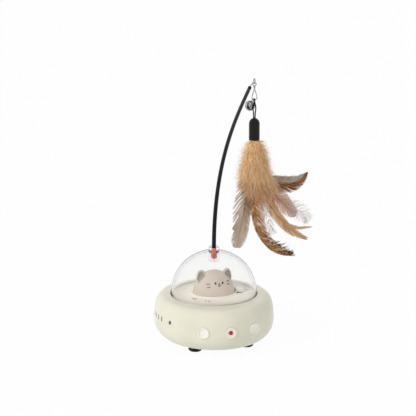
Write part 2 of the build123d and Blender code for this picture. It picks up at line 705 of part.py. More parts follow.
def make_snap_link():
    """Wire link: a small ring above, a wound neck and a pear-shaped bow below."""
    wire = SNAP_WIRE / 2
    neck = SNAP_TOP - 2 * SNAP_RING
    bow = SNAP_BOTTOM + SNAP_BOW
    ring = Pos(0, EYE_Y, SNAP_TOP - SNAP_RING) * Rot(90, 0, 0) * Torus(SNAP_RING, wire)
    drop = neck - SNAP_NECK - bow
    lean = asin(SNAP_BOW / drop)
    touch = (SNAP_BOW * cos(lean), bow + SNAP_BOW * sin(lean))
    arc = CenterArc((0, bow), SNAP_BOW, degrees(lean), -180 - 2 * degrees(lean))
    right = Line((0.0, neck - SNAP_NECK), touch)
    left = Line((-touch[0], touch[1]), (0.0, neck - SNAP_NECK))
    plane = Plane(origin=(0, EYE_Y, 0), x_dir=(1, 0, 0), z_dir=(0, -1, 0))
    link = ring + Pos(0, EYE_Y, neck - SNAP_NECK / 2) * Cylinder(2 * wire, SNAP_NECK + wire)
    for piece in (right, arc, left):
        run = plane * piece
        start = run @ 0
        link += sweep(Plane(origin=start, z_dir=run % 0) * Circle(wire), path=run)
    for side in (-1, 1):
        link += Pos(side * touch[0], EYE_Y, touch[1]) * Sphere(wire)
    return link


BELL_HOOK_Z = SNAP_BOTTOM + SNAP_BOW - sqrt(SNAP_BOW**2 - BELL_HOOK_X**2)


def bell_frame():
    """Frame at the bell's hook whose -Z points at the bell's centre."""
    turn = Rot(BELL_LEAN, 0, 0) * Rot(0, BELL_SIDE, 0)
    return Pos(BELL_HOOK_X, EYE_Y, BELL_HOOK_Z) * turn


def make_bell_shell():
    """Round jingle bell with a crossed slot in its lower half."""
    shell = Sphere(BELL_RADIUS) - Sphere(BELL_RADIUS - BELL_WALL)
    slot = Pos(0, 0, -BELL_RADIUS / 2 - BELL_BRIM) * Box(2 * BELL_RADIUS, BELL_SLOT, BELL_RADIUS)
    shell -= slot + Rot(0, 0, 90) * slot
    shell -= Pos(0, 0, -BELL_RADIUS) * Cylinder(BELL_SLOT, BELL_RADIUS)
    return bell_frame() * Pos(0, 0, -BELL_REACH) * shell


def make_bell_staple():
    """Wire staple that hangs the bell on the snap link."""
    wire = STAPLE_WIRE
    width = SNAP_WIRE / 2 + BELL_GAP + wire
    foot = sqrt(BELL_RADIUS**2 - (width - wire) ** 2) - BELL_REACH
    bend = CenterArc((0, 0), width, 0, 180)
    path = Line((width, foot), (width, 0)) + bend + Line((-width, 0), (-width, foot))
    path = Plane.YZ * path
    staple = sweep(Plane(origin=path @ 0, z_dir=path % 0) * Circle(wire), path=path)
    return bell_frame() * staple


def make_bell_pellet():
    """Loose steel ball at the bottom of the bell."""
    rest = BELL_RADIUS - BELL_WALL - PELLET_RADIUS - PELLET_GAP
    return bell_frame() * Pos(0, 0, -BELL_REACH - rest) * Sphere(PELLET_RADIUS)


CAP_TOP = SNAP_BOTTOM - CAP_DROP
CAP_BOTTOM = CAP_TOP - CAP_LENGTH
CAP_NECK = 2 * CORD_DIAMETER


def make_loop_cord():
    """Cord loop: two strands rise from the cap, open out and pass over the snap link's bow."""
    apex = SNAP_BOTTOM + SNAP_WIRE / 2 + HANG_GAP + CORD_DIAMETER / 2
    bend = SNAP_WIRE / 2 + HANG_GAP + CORD_DIAMETER / 2
    points = [
        (-0.61, 0.0, CAP_TOP),
        (-0.66, 0.0, CAP_TOP + 4.6),
        (-1.5, -0.1, CAP_TOP + 9.2),
        (-0.6, -1.0, CAP_TOP + 13.8),
        (0.0, -bend, apex),
        (0.0, bend, apex),
        (0.6, 1.0, CAP_TOP + 13.8),
        (1.5, 0.1, CAP_TOP + 9.2),
        (0.66, 0.0, CAP_TOP + 4.6),
        (0.61, 0.0, CAP_TOP),
    ]
    over_wire = bend * 0.98
    radii = [9.0, 6.0, 5.0, over_wire, over_wire, 5.0, 6.0, 9.0]
    path = Pos(0, EYE_Y, 0) * FilletPolyline(*points, radius=radii)
    start = Plane(origin=path @ 0, z_dir=path % 0)
    loop = sweep(start * Circle(CORD_DIAMETER / 2), path=path)
    tube = pi * CORD_DIAMETER**2 / 4 * path.length
    print("loop cord: length", round(path.length, 2), "radii", radii)
    print("loop cord: share of its volume", round(loop.volume / tube, 4))
    return loop


def make_lure_cap():
    """Glossy cap over the quills: a dome above, a straight skirt and a bore below."""
    radius = CAP_DIAMETER / 2
    profile = Polyline((0, CAP_TOP), (0, CAP_BOTTOM), (radius, CAP_BOTTOM), (radius, CAP_TOP - radius))
    shoulder = (radius, CAP_TOP - radius * CAP_ROUNDING)
    neck = (CAP_NECK - CORD_DIAMETER / 3, CAP_TOP)
    profile += Bezier((radius, CAP_TOP - radius), shoulder, (CAP_NECK, CAP_TOP), neck)
    profile += Line(neck, (0, CAP_TOP))
    cap = revolve(Plane.XZ * make_face(profile), Axis.Z)
    cap -= rod(CAP_BORE / 2, CAP_BOTTOM, CAP_BOTTOM + CAP_LENGTH / 2)
    return Pos(0, EYE_Y, 0) * cap


# Each feather: its layer in front of (-) or behind (+) the lure's axis, its quill's place in
# the cap, and its vane as stations of reach across, height above the cap's foot and width.
FEATHERS = {
    "feather_taupe": (
        -2.6,
        200,
        [
            (-8.0, -43.5, 5.0),
            (-11.5, -60.0, 14.0),
            (-13.5, -73.0, 17.0),
            (-16.0, -93.0, 11.0),
            (-17.5, -99.5, 2.5),
        ],
    ),
    "feather_speckled": (
        -5.4,
        260,
        [
            (2.0, -43.5, 5.0),
            (1.5, -62.0, 11.0),
            (5.5, -79.0, 13.0),
            (15.0, -93.0, 12.0),
            (27.0, -102.0, 9.0),
            (36.0, -106.5, 2.0),
        ],
    ),
    "feather_banded": (
        0.2,
        320,
        [
            (9.0, -46.0, 4.0),
            (15.5, -60.0, 10.0),
            (27.0, -76.0, 11.0),
            (40.0, -87.0, 9.0),
            (51.5, -94.5, 2.0),
        ],
    ),
    "feather_mauve": (
        3.0,
        20,
        [
            (15.5, -46.5, 4.0),
            (22.5, -55.0, 12.0),
            (31.0, -63.5, 13.0),
            (40.0, -70.5, 3.0),
        ],
    ),
    "feather_dark": (
        5.8,
        80,
        [
            (23.0, -38.0, 5.0),
            (31.0, -37.5, 12.0),
            (41.0, -35.0, 11.0),
            (51.0, -31.0, 2.5),
        ],
    ),
    "feather_white": (
        8.6,
        140,
        [
            (16.0, -47.0, 4.0),
            (29.0, -62.0, 9.0),
            (41.0, -72.0, 11.0),
            (53.0, -81.0, 3.0),
        ],
    ),
}


def feather_points(layer, stations):
    """Vane stations as points and widths, bowed slightly out of their plane."""
    last = len(stations) - 1
    placed = []
    for index, (x, drop, width) in enumerate(stations):
        bow = VANE_BOW * sin(pi * index / last) * (1 if layer > 0 else -1)
        placed.append((Vector(x, EYE_Y + layer + bow, CAP_BOTTOM + drop), width))
    return placed


def quill_ends(layer, azimuth, stations):
    """Quill's upper end inside the cap and its lower end at the vane's root."""
    ring = Vector(QUILL_RING * cos(radians(azimuth)), QUILL_RING * sin(radians(azimuth)), 0)
    upper = Vector(0, EYE_Y, CAP_BOTTOM + QUILL_SEAT) + ring
    return upper, feather_points(layer, stations)[0][0]


def make_quill(layer, azimuth, stations):
    """Straight quill from the cap to the vane."""
    upper, lower = quill_ends(layer, azimuth, stations)
    along = (upper - lower).normalized()
    length = (upper - lower).length
    return Plane(origin=lower, z_dir=along) * extrude(Circle(QUILL / 2), length)


def make_feather(layer, azimuth, stations):
    """Curved vane with a quill."""
    placed = feather_points(layer, stations)
    sections = []
    for index, (point, width) in enumerate(placed):
        before = placed[max(index - 1, 0)][0]
        after = placed[min(index + 1, len(placed) - 1)][0]
        along = (after - before).normalized()
        side = along.cross(Vector(0, 1, 0)).normalized()
        plane = Plane(origin=point, x_dir=side, z_dir=along)
        sections.append(plane * Ellipse(width / 2, VANE_THICKNESS / 2))
    return loft(sections) + make_quill(layer, azimuth, stations)


def make_down_tuft():
    """Tapered tuft of down round the quills, wider to the right as it falls."""
    stations = [
        (0.2, 0.0, 4.5, 4.5),
        (0.6, -8.0, 9.0, 7.5),
        (1.0, -20.0, 14.0, 10.5),
        (2.6, -32.0, 17.0, 12.0),
        (3.6, -39.0, 17.5, 12.0),
        (3.6, -43.0, 13.5, 9.0),
    ]
    sections = [Pos(x, EYE_Y, CAP_BOTTOM + drop) * Ellipse(wide, deep) for x, drop, wide, deep in stations]
    tuft = loft(sections)
    for layer, azimuth, vane in FEATHERS.values():
        tuft -= make_quill(layer, azimuth, vane)
    return tuft


write("main_shell", make_main_shell())
write("bottom_cover", make_bottom_cover())
for side, azimuth in FOOT_AZIMUTHS.items():
    write(f"foot_{side}", make_foot(azimuth))
COVER_BITE = COVER_THICKNESS + SCREW_BITE - SCREW_HEAD_HEIGHT
write("cover_screws", make_screws(BOSS_PLACES, BODY_BOTTOM, SCREW_HEAD_HEIGHT, COVER_BITE))
write("deck_bush", make_deck_bush())
write("gear_plate", make_gear_plate())
PLATE_HEADS = PLATE_BOTTOM - SCREW_HEAD_HEIGHT
write("plate_screws", make_screws(POST_PLACES, PLATE_HEADS, SCREW_HEAD_HEIGHT, PLATE_THICKNESS + SCREW_BITE))
write("motor_can", make_motor_can())
write("motor_screws", make_motor_screws())
write("idler_axle", rod(AXLE_DIAMETER / 2, PLATE_BOTTOM, DECK_UNDER, IDLER_X, IDLER_Y))
write("battery_cell", make_battery_cell())
write("circuit_board", make_circuit_board())
write("usb_socket", make_usb_socket())
write("tact_switch", make_tact_switch())
write("port_left", make_port(-PORT_SPACING, False))
write("port_middle", make_port(0, True))
write("port_right", make_port(PORT_SPACING, False))
write("laser_lens", make_laser_lens())
write("laser_barrel", make_laser_barrel())
write("turntable_disc", make_turntable_disc())
write("hub_shaft", rod(SHAFT_DIAMETER / 2, WHEEL_Z, FLANGE_TOP - FLANGE_THICKNESS / 2))
write("driven_gear", make_driven_gear())
write("kitten_head", make_kitten_head())
write("head_tab", make_head_tab())
write("dome", make_dome())
write("idler_gear", make_idler_gear())
write("motor_pinion", make_motor_pinion())
write("motor_shaft", make_motor_shaft())
write("power_button", make_power_button())
write("wand_plug", make_wand_plug())
write("wand_rod", make_wand_rod())
write("wire_eye", make_wire_eye())
write("snap_link", make_snap_link())
write("bell_shell", make_bell_shell())
write("bell_staple", make_bell_staple())
write("bell_pellet", make_bell_pellet())
write("loop_cord", make_loop_cord())
write("lure_cap", make_lure_cap())
write("down_tuft", make_down_tuft())
for node, (layer, azimuth, stations) in FEATHERS.items():
    write(node, make_feather(layer, azimuth, stations))
print("wand tip", round(TIP_REACH, 2), round(TIP_HEIGHT, 2), "eye", round(EYE_Y, 2), round(EYE_Z, 2))
print("snap", round(SNAP_TOP, 2), round(SNAP_BOTTOM, 2), "cap", round(CAP_TOP, 2), round(CAP_BOTTOM, 2))
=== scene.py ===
import logging
import math
import random
from dataclasses import dataclass, field
from enum import Enum
from typing import Callable, Sequence

import bmesh
import bpy
import numpy as np
from mathutils import Matrix, Vector, noise
from mathutils.bvhtree import BVHTree


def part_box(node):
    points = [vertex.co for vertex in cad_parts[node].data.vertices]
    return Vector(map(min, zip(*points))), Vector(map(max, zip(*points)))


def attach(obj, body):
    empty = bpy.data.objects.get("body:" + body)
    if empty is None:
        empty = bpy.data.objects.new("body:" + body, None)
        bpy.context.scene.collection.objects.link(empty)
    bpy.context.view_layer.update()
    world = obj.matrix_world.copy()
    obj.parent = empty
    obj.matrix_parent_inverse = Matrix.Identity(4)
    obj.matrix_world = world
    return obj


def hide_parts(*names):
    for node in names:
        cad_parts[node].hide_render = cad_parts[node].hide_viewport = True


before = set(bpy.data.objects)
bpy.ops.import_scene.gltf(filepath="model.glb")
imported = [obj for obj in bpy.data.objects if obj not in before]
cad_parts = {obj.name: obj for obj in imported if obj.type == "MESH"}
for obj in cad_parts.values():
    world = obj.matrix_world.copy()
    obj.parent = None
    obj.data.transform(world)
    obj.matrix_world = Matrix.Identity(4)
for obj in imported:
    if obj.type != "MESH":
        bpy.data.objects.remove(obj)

LOG = logging.getLogger("cat_toy")
MM = 0.001

Rgb = tuple[int, int, int]
Rgba = tuple[float, float, float, float]
Triple = tuple[float, float, float]
Station = tuple[float, float, float, float]
Mark = tuple[float, float, float, float, float]
Socket = bpy.types.NodeSocket
Tree = bpy.types.NodeTree
Material = bpy.types.Material
Thing = bpy.types.Object
WHITE = (1.0, 1.0, 1.0, 1.0)


def paint(colour: Rgb) -> Rgba:
    """Turns an 8-bit colour into a linear one.

    Args:
        colour: its red, green and blue, from 0 to 255.

    Returns:
        The linear colour with full alpha.
    """
    shares = [value / 255 for value in colour]
    red, green, blue = [s / 12.92 if s <= 0.04045 else ((s + 0.055) / 1.055) ** 2.4 for s in shares]
    return (red, green, blue, 1.0)


def grey(level: float) -> Rgba:
    """Gives a linear grey."""
    return (level, level, level, 1.0)


class Body(Enum):
    """The bodies of the model that new pieces ride on."""

    BASE = "base"
    TURNTABLE = "turntable"
    LURE = "lure"


class Slot(Enum):
    """Names of the record's material slots; no piece here is given one."""

    SHELL = "cream_shell"
    HEAD = "head_taupe"
    STEEL = "steel"
    CORD = "cord"
    DOWN = "down"
    VANE = "vane"
    BLACK = "black_plastic"


class Nodes:
    """Short calls for the nodes and links of one tree."""

    def __init__(self, tree: Tree) -> None:
        """Keeps the tree that the calls add to."""
        self.tree = tree

    def add(self, kind: str, inputs: dict | None = None, **settings: object) -> bpy.types.Node:
        """Adds a node.

        Args:
            kind: the node's type.
            inputs: values or sockets by the input's name or number.
            settings: the node's own properties.

        Returns:
            The new node.
        """
        node = self.tree.nodes.new(kind)
        for name, value in settings.items():
            setattr(node, name, value)
        for key, value in (inputs or {}).items():
            self.feed(node.inputs[key], value)
        return node

    def feed(self, target: Socket, value: object) -> None:
        """Links a socket to another, or sets its value.

        Args:
            target: the socket that is fed.
            value: a socket or a value.
        """
        if isinstance(value, bpy.types.NodeSocket):
            self.tree.links.new(value, target)
        else:
            target.default_value = value

    def mix(self, factor: object, first: object, second: object) -> Socket:
        """Blends two colours."""
        return self.add("ShaderNodeMix", {0: factor, 6: first, 7: second}, data_type="RGBA").outputs[2]

    def math(self, operation: str, first: object, second: object = 0.5) -> Socket:
        """Joins two numbers."""
        return self.add("ShaderNodeMath", {0: first, 1: second}, operation=operation).outputs[0]

    def vector(self, operation: str, first: object, second: object) -> Socket:
        """Joins two vectors, or a vector and its scale."""
        key = "Scale" if operation == "SCALE" else 1
        return self.add("ShaderNodeVectorMath", {0: first, key: second}, operation=operation).outputs[0]

    def split(self, place: Socket) -> bpy.types.bpy_prop_collection:
        """Gives a vector's three parts."""
        return self.add("ShaderNodeSeparateXYZ", {0: place}).outputs

    def spread(self, value: Socket, low: float, high: float, to: tuple[float, float] = (0.0, 1.0)) -> Socket:
        """Maps a range of values to another, held at its ends."""
        ends = {"Value": value, "From Min": low, "From Max": high, "To Min": to[0], "To Max": to[1]}
        return self.add("ShaderNodeMapRange", ends).outputs["Result"]

    def noise(self, place: Socket, scale: object, detail: float, stretch: Triple | None = None) -> Socket:
        """Adds a noise texture.

        Args:
            place: its coordinates.
            scale: its scale.
            detail: its detail.
            stretch: the coordinates' scale by axis, if they are stretched.

        Returns:
            The texture's value.
        """
        if stretch:
            place = self.add("ShaderNodeMapping", {"Vector": place, "Scale": stretch}).outputs[0]
        return self.add("ShaderNodeTexNoise", {"Vector": place, "Scale": scale, "Detail": detail}).outputs[0]

    def draw(self, kind: str, low: object, high: object, seed: int) -> Socket:
        """Draws a random number or vector for each point.

        Args:
            kind: FLOAT or FLOAT_VECTOR.
            low: the lowest value.
            high: the highest value.
            seed: the seed.

        Returns:
            The number or vector.
        """
        first = 0 if kind == "FLOAT_VECTOR" else 2
        inputs = {first: low, first + 1: high, "Seed": seed}
        return self.add("FunctionNodeRandomValue", inputs, data_type=kind).outputs[first // 2]


class Surface(Nodes):
    """A new material's tree with its Principled BSDF."""

    def __init__(self, name: str) -> None:
        """Makes the material.

        Args:
            name: the material's name.
        """
        self.material = bpy.data.materials.new(name)
        self.material.use_nodes = True
        super().__init__(self.material.node_tree)
        self.shader = self.tree.nodes["Principled BSDF"]

    @property
    def place(self) -> Socket:
        """Object coordinates, in metres."""
        return self.add("ShaderNodeTexCoord").outputs["Object"]

    @property
    def strand(self) -> Socket:
        """The piece's own UV map: along a feather's shaft, and along a barb."""
        return self.add("ShaderNodeTexCoord").outputs["UV"]

    @property
    def shade(self) -> Socket:
        """The piece's own random shade, from 0 to 1."""
        return self.add("ShaderNodeAttribute", attribute_name="shade").outputs["Fac"]

    def finish(self, values: dict, height: Socket | None = None, relief: float = 0.0) -> Material:
        """Feeds the shader.

        Args:
            values: the shader's inputs by name.
            height: a height over the surface, if it has relief.
            relief: the relief's depth, in millimetres.

        Returns:
            The finished material.
        """
        for key, value in values.items():
            self.feed(self.shader.inputs[key], value)
        if height is not None:
            bump = self.add("ShaderNodeBump", {"Height": height, "Strength": 1.0, "Distance": relief * MM})
            self.feed(self.shader.inputs["Normal"], bump.outputs[0])
        return self.material

    def blend(self, factor: Socket, other: bpy.types.Node) -> None:
        """Blends another shader into the one that the material puts out."""
        both = self.add("ShaderNodeMixShader", {0: factor, 1: self.shader.outputs[0], 2: other.outputs[0]})
        self.feed(self.tree.nodes["Material Output"].inputs["Surface"], both.outputs[0])


def wire_moulded_grain(nodes: Nodes, given: dict, wanted: dict) -> None:
    """Fine spark-eroded grain, a slow drift of tone and a matching drift of gloss.

    Args:
        nodes: the group's calls.
        given: the group's inputs.
        wanted: the group's outputs.
    """
    fine = nodes.noise(given["Place"], given["Grain"], 4.0)
    broad = nodes.noise(given["Place"], 42.0, 2.0)
    tone = nodes.mix(nodes.spread(broad, 0.32, 0.68), given["Base"], given["Second"])
    fleck = nodes.spread(fine, 0.62, 0.75, (0.0, 0.35))
    nodes.feed(wanted["Colour"], nodes.mix(fleck, tone, given["Second"]))
    lift = nodes.spread(broad, 0.3, 0.7, (-0.05, 0.05))
    nodes.feed(wanted["Roughness"], nodes.math("ADD", given["Roughness"], lift))
    nodes.feed(wanted["Height"], fine)


def wire_drawn_metal(nodes: Nodes, given: dict, wanted: dict) -> None:
    """Drawing marks and patches of a second tone on bright metal: light tarnish on steel and brass, painted
    dark reflection on the bell.

    Args:
        nodes: the group's calls.
        given: the group's inputs.
        wanted: the group's outputs.
    """
    marks = nodes.noise(given["Place"], given["Grain"], 3.0, (1.0, 1.0, 0.15))
    # Patches of the second tone: tarnish, and on the bell a painted reflection.
    tarnish_and_painted_reflection = nodes.noise(given["Place"], 520.0, 3.0)
    nodes.feed(wanted["Colour"], nodes.mix(nodes.spread(tarnish_and_painted_reflection, 0.42, 0.6), given["Base"], given["Second"]))
    lift = nodes.spread(marks, 0.3, 0.7, (-0.06, 0.1))
    nodes.feed(wanted["Roughness"], nodes.math("ADD", given["Roughness"], lift))
    nodes.feed(wanted["Height"], marks)


def wire_barb_streaks(nodes: Nodes, given: dict, wanted: dict) -> None:
    """Fine streaks along barbs, with each barb a little darker or lighter.

    Args:
        nodes: the group's calls.
        given: the group's inputs.
        wanted: the group's outputs.
    """
    along = nodes.noise(given["Strand"], 1.0, 3.0, (150.0, 3.0, 1.0))
    mixed = nodes.math("ADD", nodes.math("MULTIPLY", along, 0.5), nodes.math("MULTIPLY", given["Shade"], 0.5))
    dark = nodes.mix(nodes.spread(mixed, 0.3, 0.5), given["Dark"], given["Base"])
    nodes.feed(wanted["Colour"], nodes.mix(nodes.spread(mixed, 0.52, 0.78), dark, given["Light"]))
    nodes.feed(wanted["Height"], along)


Wiring = Callable[[Nodes, dict, dict], None]
SOLID_INPUTS = {"Place": "Vector", "Base": "Color", "Second": "Color", "Grain": "Float", "Roughness": "Float"}
SOLID_OUTPUTS = {"Colour": "Color", "Roughness": "Float", "Height": "Float"}
STRAND_INPUTS = {"Strand": "Vector", "Shade": "Float", "Base": "Color", "Dark": "Color", "Light": "Color"}
GROUPS: dict[str, tuple[dict, dict, Wiring]] = {
    "moulded_grain": (SOLID_INPUTS, SOLID_OUTPUTS, wire_moulded_grain),
    "drawn_metal": (SOLID_INPUTS, SOLID_OUTPUTS, wire_drawn_metal),
    "barb_streaks": (STRAND_INPUTS, {"Colour": "Color", "Height": "Float"}, wire_barb_streaks),
}


def add_sockets(tree: Tree, side: str, kinds: dict[str, str]) -> None:
    """Adds named sockets to a tree's inputs or outputs."""
    for label, kind in kinds.items():
        tree.interface.new_socket(label, in_out=side, socket_type=f"NodeSocket{kind}")


def shared_group(name: str) -> Tree:
    """Builds a shader node group of GROUPS the first time, and returns it each time.

    Args:
        name: the group's name.

    Returns:
        The group.
    """
    known = bpy.data.node_groups.get(name)
    if known:
        return known
    inputs, outputs, wire = GROUPS[name]
    nodes = Nodes(bpy.data.node_groups.new(name, "ShaderNodeTree"))
    add_sockets(nodes.tree, "INPUT", inputs)
    add_sockets(nodes.tree, "OUTPUT", outputs)
    wire(nodes, nodes.add("NodeGroupInput").outputs, nodes.add("NodeGroupOutput").inputs)
    return nodes.tree


@dataclass(frozen=True)
class Solid:
    """What moulded parts and metal share. The grain is in bumps per metre, and its relief in millimetres."""

    name: str
    base: Rgb
    second: Rgb
    roughness: float = 0.4
    grain: float = 2600.0
    relief: float = 0.006

    def dress(self, group: str, values: dict) -> Material:
        """Builds the material from a shared group.

        Args:
            group: the group's name.
            values: the shader's other inputs.

        Returns:
            The material.
        """
        surface = Surface(self.name)
        inputs = {
            "Place": surface.place, "Base": paint(self.base), "Second": paint(self.second),
            "Grain": self.grain, "Roughness": self.roughness,
        }
        made = surface.add("ShaderNodeGroup", inputs, node_tree=shared_group(group)).outputs
        values = {"Base Color": made["Colour"], "Roughness": made["Roughness"], **values}
        return surface.finish(values, made["Height"], self.relief)


@dataclass(frozen=True)
class Moulding(Solid):
    """Moulded plastic or rubber."""

    coat: float = 0.0
    # Painted glow: emission in the part's own colour, for a part that is no lamp.
    painted_glow: float = 0.0
    soft: float = 0.0
    gloss: float = 0.4
    coat_roughness: float = 0.08
    soft_reach: Triple = (2.0, 1.2, 0.8)

    def material(self) -> Material:
        """Builds the material.

        Returns:
            The material.
        """
        return self.dress("moulded_grain", {
            "Coat Weight": self.coat,
            "Coat Roughness": self.coat_roughness,
            "Specular IOR Level": self.gloss,
            "Subsurface Weight": self.soft,
            "Subsurface Radius": [reach * MM for reach in self.soft_reach],
            "Emission Color": paint(self.base),
            "Emission Strength": self.painted_glow,
        })


@dataclass(frozen=True)
class Metal(Solid):
    """Drawn or turned metal."""

    roughness: float = 0.2
    grain: float = 4000.0
    relief: float = 0.004

    def material(self) -> Material:
        """Builds the material."""
        return self.dress("drawn_metal", {"Metallic": 1.0})


@dataclass(frozen=True)
class ClearPlastic:
    """Clear moulded plastic that lets shadow rays through and draws a dark line of painted shade round its
    upper edge.
    """

    name: str
    tint: Rgb
    roughness: float = 0.01
    # Several fields below set painted shade, a dark line along the dome's outline: its greys, where it starts
    # and how it grows with height.
    rim_shade: Rgba = (0.08, 0.08, 0.09, 1.0)
    rim_shade_from: float = 0.66
    index: float = 1.4
    let_through: float = 0.99
    rim_shade_height: tuple[float, float] = (0.06, 0.098)
    rim_shade_strength: tuple[float, float] = (0.35, 1.0)
    outline: float = 0.1
    outline_shade_from: float = 0.72
    ripple: float = 60.0
    relief: float = 0.02

    def material(self) -> Material:
        """Builds the material.

        Returns:
            The material.
        """
        surface = Surface(self.name)
        # Painted shade: the base colour turns dark grey where the surface faces away from view, more so up
        # the dome.
        slant = surface.add("ShaderNodeLayerWeight", {"Blend": 0.5}).outputs["Facing"]
        strength = surface.spread(surface.split(surface.place)[2], *self.rim_shade_height, self.rim_shade_strength)
        rim = surface.math("MULTIPLY", surface.spread(slant, self.rim_shade_from, 1.0), strength)
        values = {
            "Base Color": surface.mix(rim, paint(self.tint), self.rim_shade),
            "Roughness": self.roughness,
            "IOR": self.index,
            "Transmission Weight": 1.0,
        }
        material = surface.finish(values, surface.noise(surface.place, self.ripple, 1.0), self.relief)
        shadow = surface.add("ShaderNodeLightPath").outputs["Is Shadow Ray"]
        # Painted shade: camera rays near the outline pass through a dark grey, which draws a dark line.
        line = surface.math("MULTIPLY", surface.spread(slant, self.outline_shade_from, 1.0), strength)
        shadow_pass_and_outline_shade = surface.mix(shadow, grey(self.outline), grey(self.let_through))
        clear = surface.add("ShaderNodeBsdfTransparent", {"Color": shadow_pass_and_outline_shade})
        surface.blend(surface.math("MAXIMUM", shadow, line), clear)
        return material


@dataclass(frozen=True)
class Braid:
    """Round braided cord, its strands crossing along the cord's UV map."""

    name: str
    base: Rgb
    light: Rgb
    turns: float = 34.0
    fuzz: float = 6000.0
    roughness: float = 0.5
    gloss: float = 0.08
    relief: float = 0.12

    def material(self) -> Material:
        """Builds the material.

        Returns:
            The material.
        """
        surface = Surface(self.name)
        ends = surface.split(surface.strand)
        along = surface.math("MULTIPLY", ends[0], self.turns * 2 * math.pi)
        around = surface.math("MULTIPLY", ends[1], 4 * math.pi)
        right = surface.math("SINE", surface.math("ADD", along, around))
        left = surface.math("SINE", surface.math("SUBTRACT", along, around))
        weave = surface.spread(surface.math("MAXIMUM", right, left), 0.0, 1.0)
        worn = surface.math("MULTIPLY", weave, surface.noise(surface.place, self.fuzz, 2.0))
        values = {
            "Base Color": surface.mix(worn, paint(self.base), paint(self.light)),
            "Roughness": self.roughness,
            "Specular IOR Level": self.gloss,
        }
        return surface.finish(values, weave, self.relief)


@dataclass(frozen=True)
class Plumage:
    """Feather or down: streaked barbs that may have a second tone, bars, flecks and a changed tip.

    The UV map runs from 0 to 1 along the shaft, and from 0 at the lower vane's edge through 0.5
    at the shaft to 1 at the upper vane's edge.
    """

    name: str
    base: Rgb
    dark: Rgb
    light: Rgb
    upper: Rgb | None = None
    tip: Rgb | None = None
    tip_from: float = 1.2
    tip_fade: float = 0.25
    two_tone: float = 0.0
    two_tone_from: float = 0.5
    two_tone_fade: float = 0.12
    bars: float = 0.0
    bar_count: float = 14.0
    bar_sway: float = 2.4
    flecks: float = 0.0
    roughness: float = 0.62
    gloss: float = 0.12
    soft: float = 0.12
    soft_reach: float = 1.2
    relief: float = 0.03

    def material(self) -> Material:
        """Builds the material.

        Returns:
            The material.
        """
        surface = Surface(self.name)
        strand = surface.strand
        ends = surface.split(strand)
        along, across = ends[0], ends[1]
        inputs = {
            "Strand": strand, "Shade": surface.shade, "Base": paint(self.base), "Dark": paint(self.dark),
            "Light": paint(self.light),
        }
        streaks = surface.add("ShaderNodeGroup", inputs, node_tree=shared_group("barb_streaks")).outputs
        beyond = surface.spread(across, self.two_tone_from, self.two_tone_from + self.two_tone_fade)
        side = surface.math("MULTIPLY", beyond, self.two_tone)
        colour = surface.mix(side, streaks["Colour"], paint(self.upper or self.base))
        drift = surface.noise(strand, 1.0, 3.0, (9.0, 5.0, 1.0))
        sway = surface.math("MULTIPLY", drift, self.bar_sway)
        wave = surface.math("ADD", surface.math("MULTIPLY", along, self.bar_count), sway)
        bar = surface.spread(surface.math("SINE", surface.math("MULTIPLY", wave, 2 * math.pi)), 0.1, 0.8)
        colour = surface.mix(surface.math("MULTIPLY", bar, self.bars), colour, paint(self.dark))
        speck = surface.noise(strand, 1.0, 2.0, (70.0, 12.0, 1.0))
        fleck = surface.math("MULTIPLY", surface.spread(speck, 0.58, 0.66), self.flecks)
        colour = surface.mix(fleck, colour, paint(self.light))
        uneven = surface.math("ADD", along, surface.spread(drift, 0.3, 0.7, (-0.08, 0.08)))
        end = surface.spread(uneven, self.tip_from, self.tip_from + self.tip_fade)
        reach = self.soft_reach * MM
        values = {
            "Base Color": surface.mix(end, colour, paint(self.tip or self.base)),
            "Roughness": self.roughness,
            "Specular IOR Level": self.gloss,
            "Subsurface Weight": self.soft,
            "Subsurface Radius": (reach, 0.75 * reach, 0.6 * reach),
        }
        return surface.finish(values, streaks["Height"], self.relief)


CREAM = Moulding("cream_shell", (234, 231, 213), (227, 225, 205), 0.36, 2600, 0.005, 0.08, soft=0.05)
CREAM_DEEP = Moulding("cream_platform", (251, 244, 232), (244, 237, 223), 0.42, 2600, 0.005)
# Painted highlight: the port discs and the power button are lighter than the shell's cream, standing in for
# light on their domed faces.
CREAM_PORT_PAINTED_HIGHLIGHT = Moulding("cream_port", (250, 248, 238), (243, 240, 228), 0.34, 2600, 0.003, 0.1)
CREAM_TAB = Moulding("cream_tab", (252, 250, 245), (246, 243, 236), 0.4, 2600, 0.004)
COVER_GREY = Moulding("cover_grey", (205, 200, 188), (196, 190, 178), 0.5, 2200, 0.01)
TAUPE = Moulding("head_taupe", (214, 201, 187), (207, 194, 180), 0.55, 2400, 0.008, soft=0.06)
EAR_OLIVE = Moulding("ear_olive", (160, 158, 144), (152, 149, 136), 0.6, 2400, 0.008)
RUBBER = Moulding("foot_rubber", (18, 18, 18), (27, 27, 26), 0.62, 1800, 0.02, gloss=0.2)
CORAL = Moulding("coral_rubber", (252, 124, 104), (244, 106, 88), 0.4, 2200, 0.006, soft=0.15)
BLACK_GLOSS = Moulding("cap_black", (10, 10, 11), (15, 15, 16), 0.16, 1500, 0.004, gloss=0.2)
BLACK_WAND = Moulding("wand_black", (16, 16, 17), (22, 22, 23), 0.3, 1500, 0.004, gloss=0.15)
# Black of the switch, also the painted shade in the cover screws' cross recesses.
BLACK_PART_AND_RECESS_SHADE = Moulding("black_part", (28, 28, 28), (38, 38, 38), 0.45, 2000, 0.01)
INK = Moulding("face_ink", (10, 9, 9), (16, 14, 14), 0.5, 3000, 0.002, gloss=0.04)
BLUSH_INK = Moulding("blush_ink", (156, 66, 58), (142, 58, 50), 0.5, 3000, 0.002)
